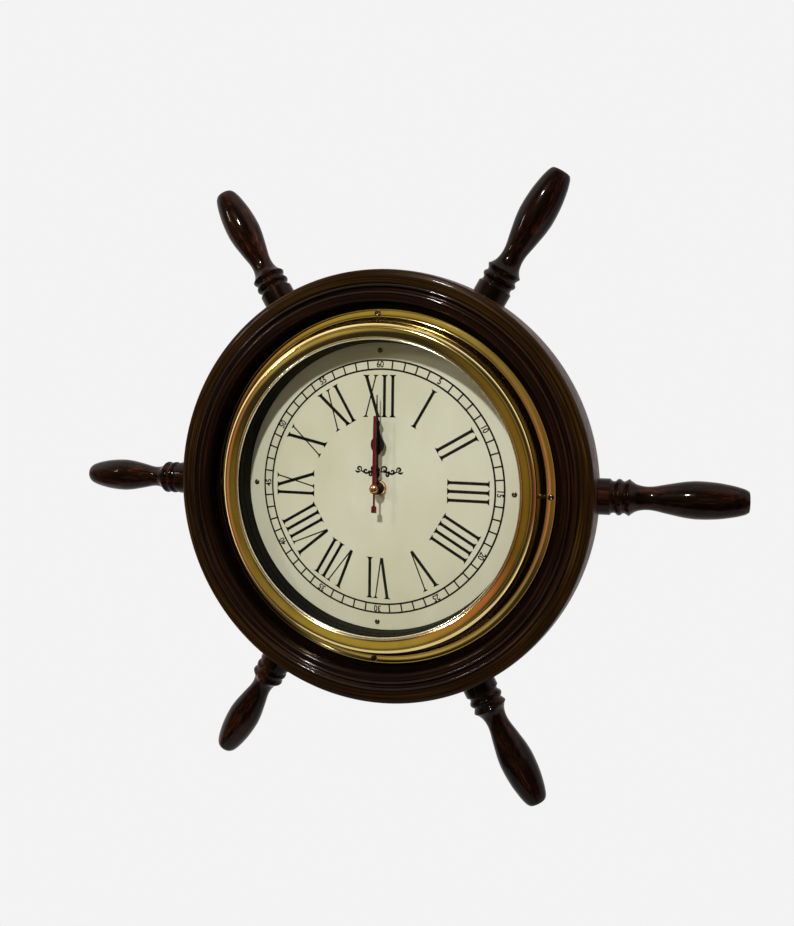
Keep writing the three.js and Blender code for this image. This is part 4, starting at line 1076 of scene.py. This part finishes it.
# The room: dark in front, bright at the sides, and soft areas by direction, half angle and light
ROOM_FRONT = (0.035, 0.034, 0.03)
ROOM_SIDES = (1.5, 1.46, 1.36)
TO_SIDES = (-0.62, -0.2)  # y of the directions between which the front gives way to the sides
TO_BACKDROP = (-0.05, 0.3)  # and the sides to the backdrop
PATCHES = [
    ((0.95, -0.3, -0.1), 30, (0.25, 0.08, 0.06)),
    ((-0.75, -0.25, -0.6), 25, (0.05, 0.04, 0.03)),
    ((-0.86, -0.5, -0.05), 32, (0.12, 0.045, 0.012)),
    ((-0.6, -0.76, 0.22), 16, (0.5, 0.19, 0.1)),
    ((-0.66, -0.72, -0.2), 18, (0.2, 0.15, 0.03)),
    ((0.25, -0.96, 0.02), 24, (0.17, 0.14, 0.04)),
    ((-0.12, -0.95, 0.22), 18, (0.26, 0.22, 0.07)),
    ((-0.15, -0.98, -0.1), 10, (0.5, 0.22, 0.14)),
    ((-0.26, -0.92, -0.32), 11, (0.5, 0.43, 0.2)),
    ((-0.35, -0.9, 0.25), 18, (0.42, 0.36, 0.1)),
]


def room():
    """The pale backdrop behind the clock, and the darker room in front of it with its soft lights."""
    world = bpy.data.worlds.new("room")
    bpy.context.scene.world = world
    world.use_nodes = True
    world.node_tree.nodes.clear()
    net = Nodes(world.node_tree)

    def fade(value, low, high):
        return net.remap(value, low, high, 0.0, 1.0, interpolation_type="SMOOTHSTEP")

    way = net.add("ShaderNodeTexCoord").outputs["Generated"]
    depth = net.add("ShaderNodeSeparateXYZ", {0: way}).outputs["Y"]
    light = net.mix(fade(depth, *TO_SIDES), ROOM_FRONT, ROOM_SIDES)
    light = net.mix(fade(depth, *TO_BACKDROP), light, (PALE, PALE, PALE))
    for towards, wide, color in PATCHES:
        aim = Vector(towards).normalized()
        dot = net.add("ShaderNodeVectorMath", {0: way, 1: aim}, operation="DOT_PRODUCT").outputs["Value"]
        light = net.mix(fade(dot, math.cos(math.radians(wide)), 1.0), light, color)
    around = net.add("ShaderNodeBackground", {"Color": light}).outputs[0]
    pale = net.add("ShaderNodeBackground", {"Color": (1, 1, 1, 1), "Strength": PALE}).outputs[0]
    rays = net.add("ShaderNodeLightPath").outputs
    seen = net.math("MAXIMUM", rays["Is Camera Ray"], rays["Is Transmission Ray"])
    mixer = net.add("ShaderNodeMixShader", {0: seen, 1: around, 2: pale})
    net.add("ShaderNodeOutputWorld", {0: mixer.outputs[0]})


def lamp(name, place, size, power, color):
    """A soft box that points at the clock's middle."""
    data = bpy.data.lights.new(name, "AREA")
    data.shape = "RECTANGLE"
    data.size, data.size_y = size
    data.energy = power
    data.color = color
    obj = linked(name, data)
    obj.location = place
    way = Vector((0, 0, -HANG * MM)) - Vector(place)
    obj.rotation_euler = way.to_track_quat("-Z", "Y").to_euler()


def lamps():
    lamp("key", place=(-0.15, -1.5, 0.95), size=(0.12, 0.12), power=27, color=(1.0, 1.0, 0.97))
    lamp("left", place=(-1.15, -1.05, 0.5), size=(0.06, 0.3), power=5, color=(1.0, 0.96, 0.9))


# The photograph's camera, worked out from the circles of the ring, the bezel and the dial
EYE = (0.233467, -0.682355, -0.09065)
EYE_ANGLES = (85.4457, -0.7455, 18.466)
LENS = 30.57


def camera():
    data = bpy.data.cameras.new("camera")
    data.sensor_fit = "AUTO"
    data.sensor_width = 36.0
    data.lens = LENS
    data.clip_start = 0.02
    obj = linked("camera", data)
    obj.location = EYE
    obj.rotation_euler = tuple(math.radians(a) for a in EYE_ANGLES)
    bpy.context.scene.camera = obj


floor()
room()
lamps()
camera()
ring = wheel_ring()
ring_recess(ring)
ring_looks(ring)
for number, (angle, extra) in enumerate(HANDLES, 1):
    handle(number, angle, extra)
bezel()
glass()
spacer()
screws()
dial()
minute_track()
minute_numbers()
numerals()
flourish()
nut()
hands()
second_hand()
cap()
back_board()
kept_nodes()

bpy.context.scene.view_settings.view_transform = "Standard"
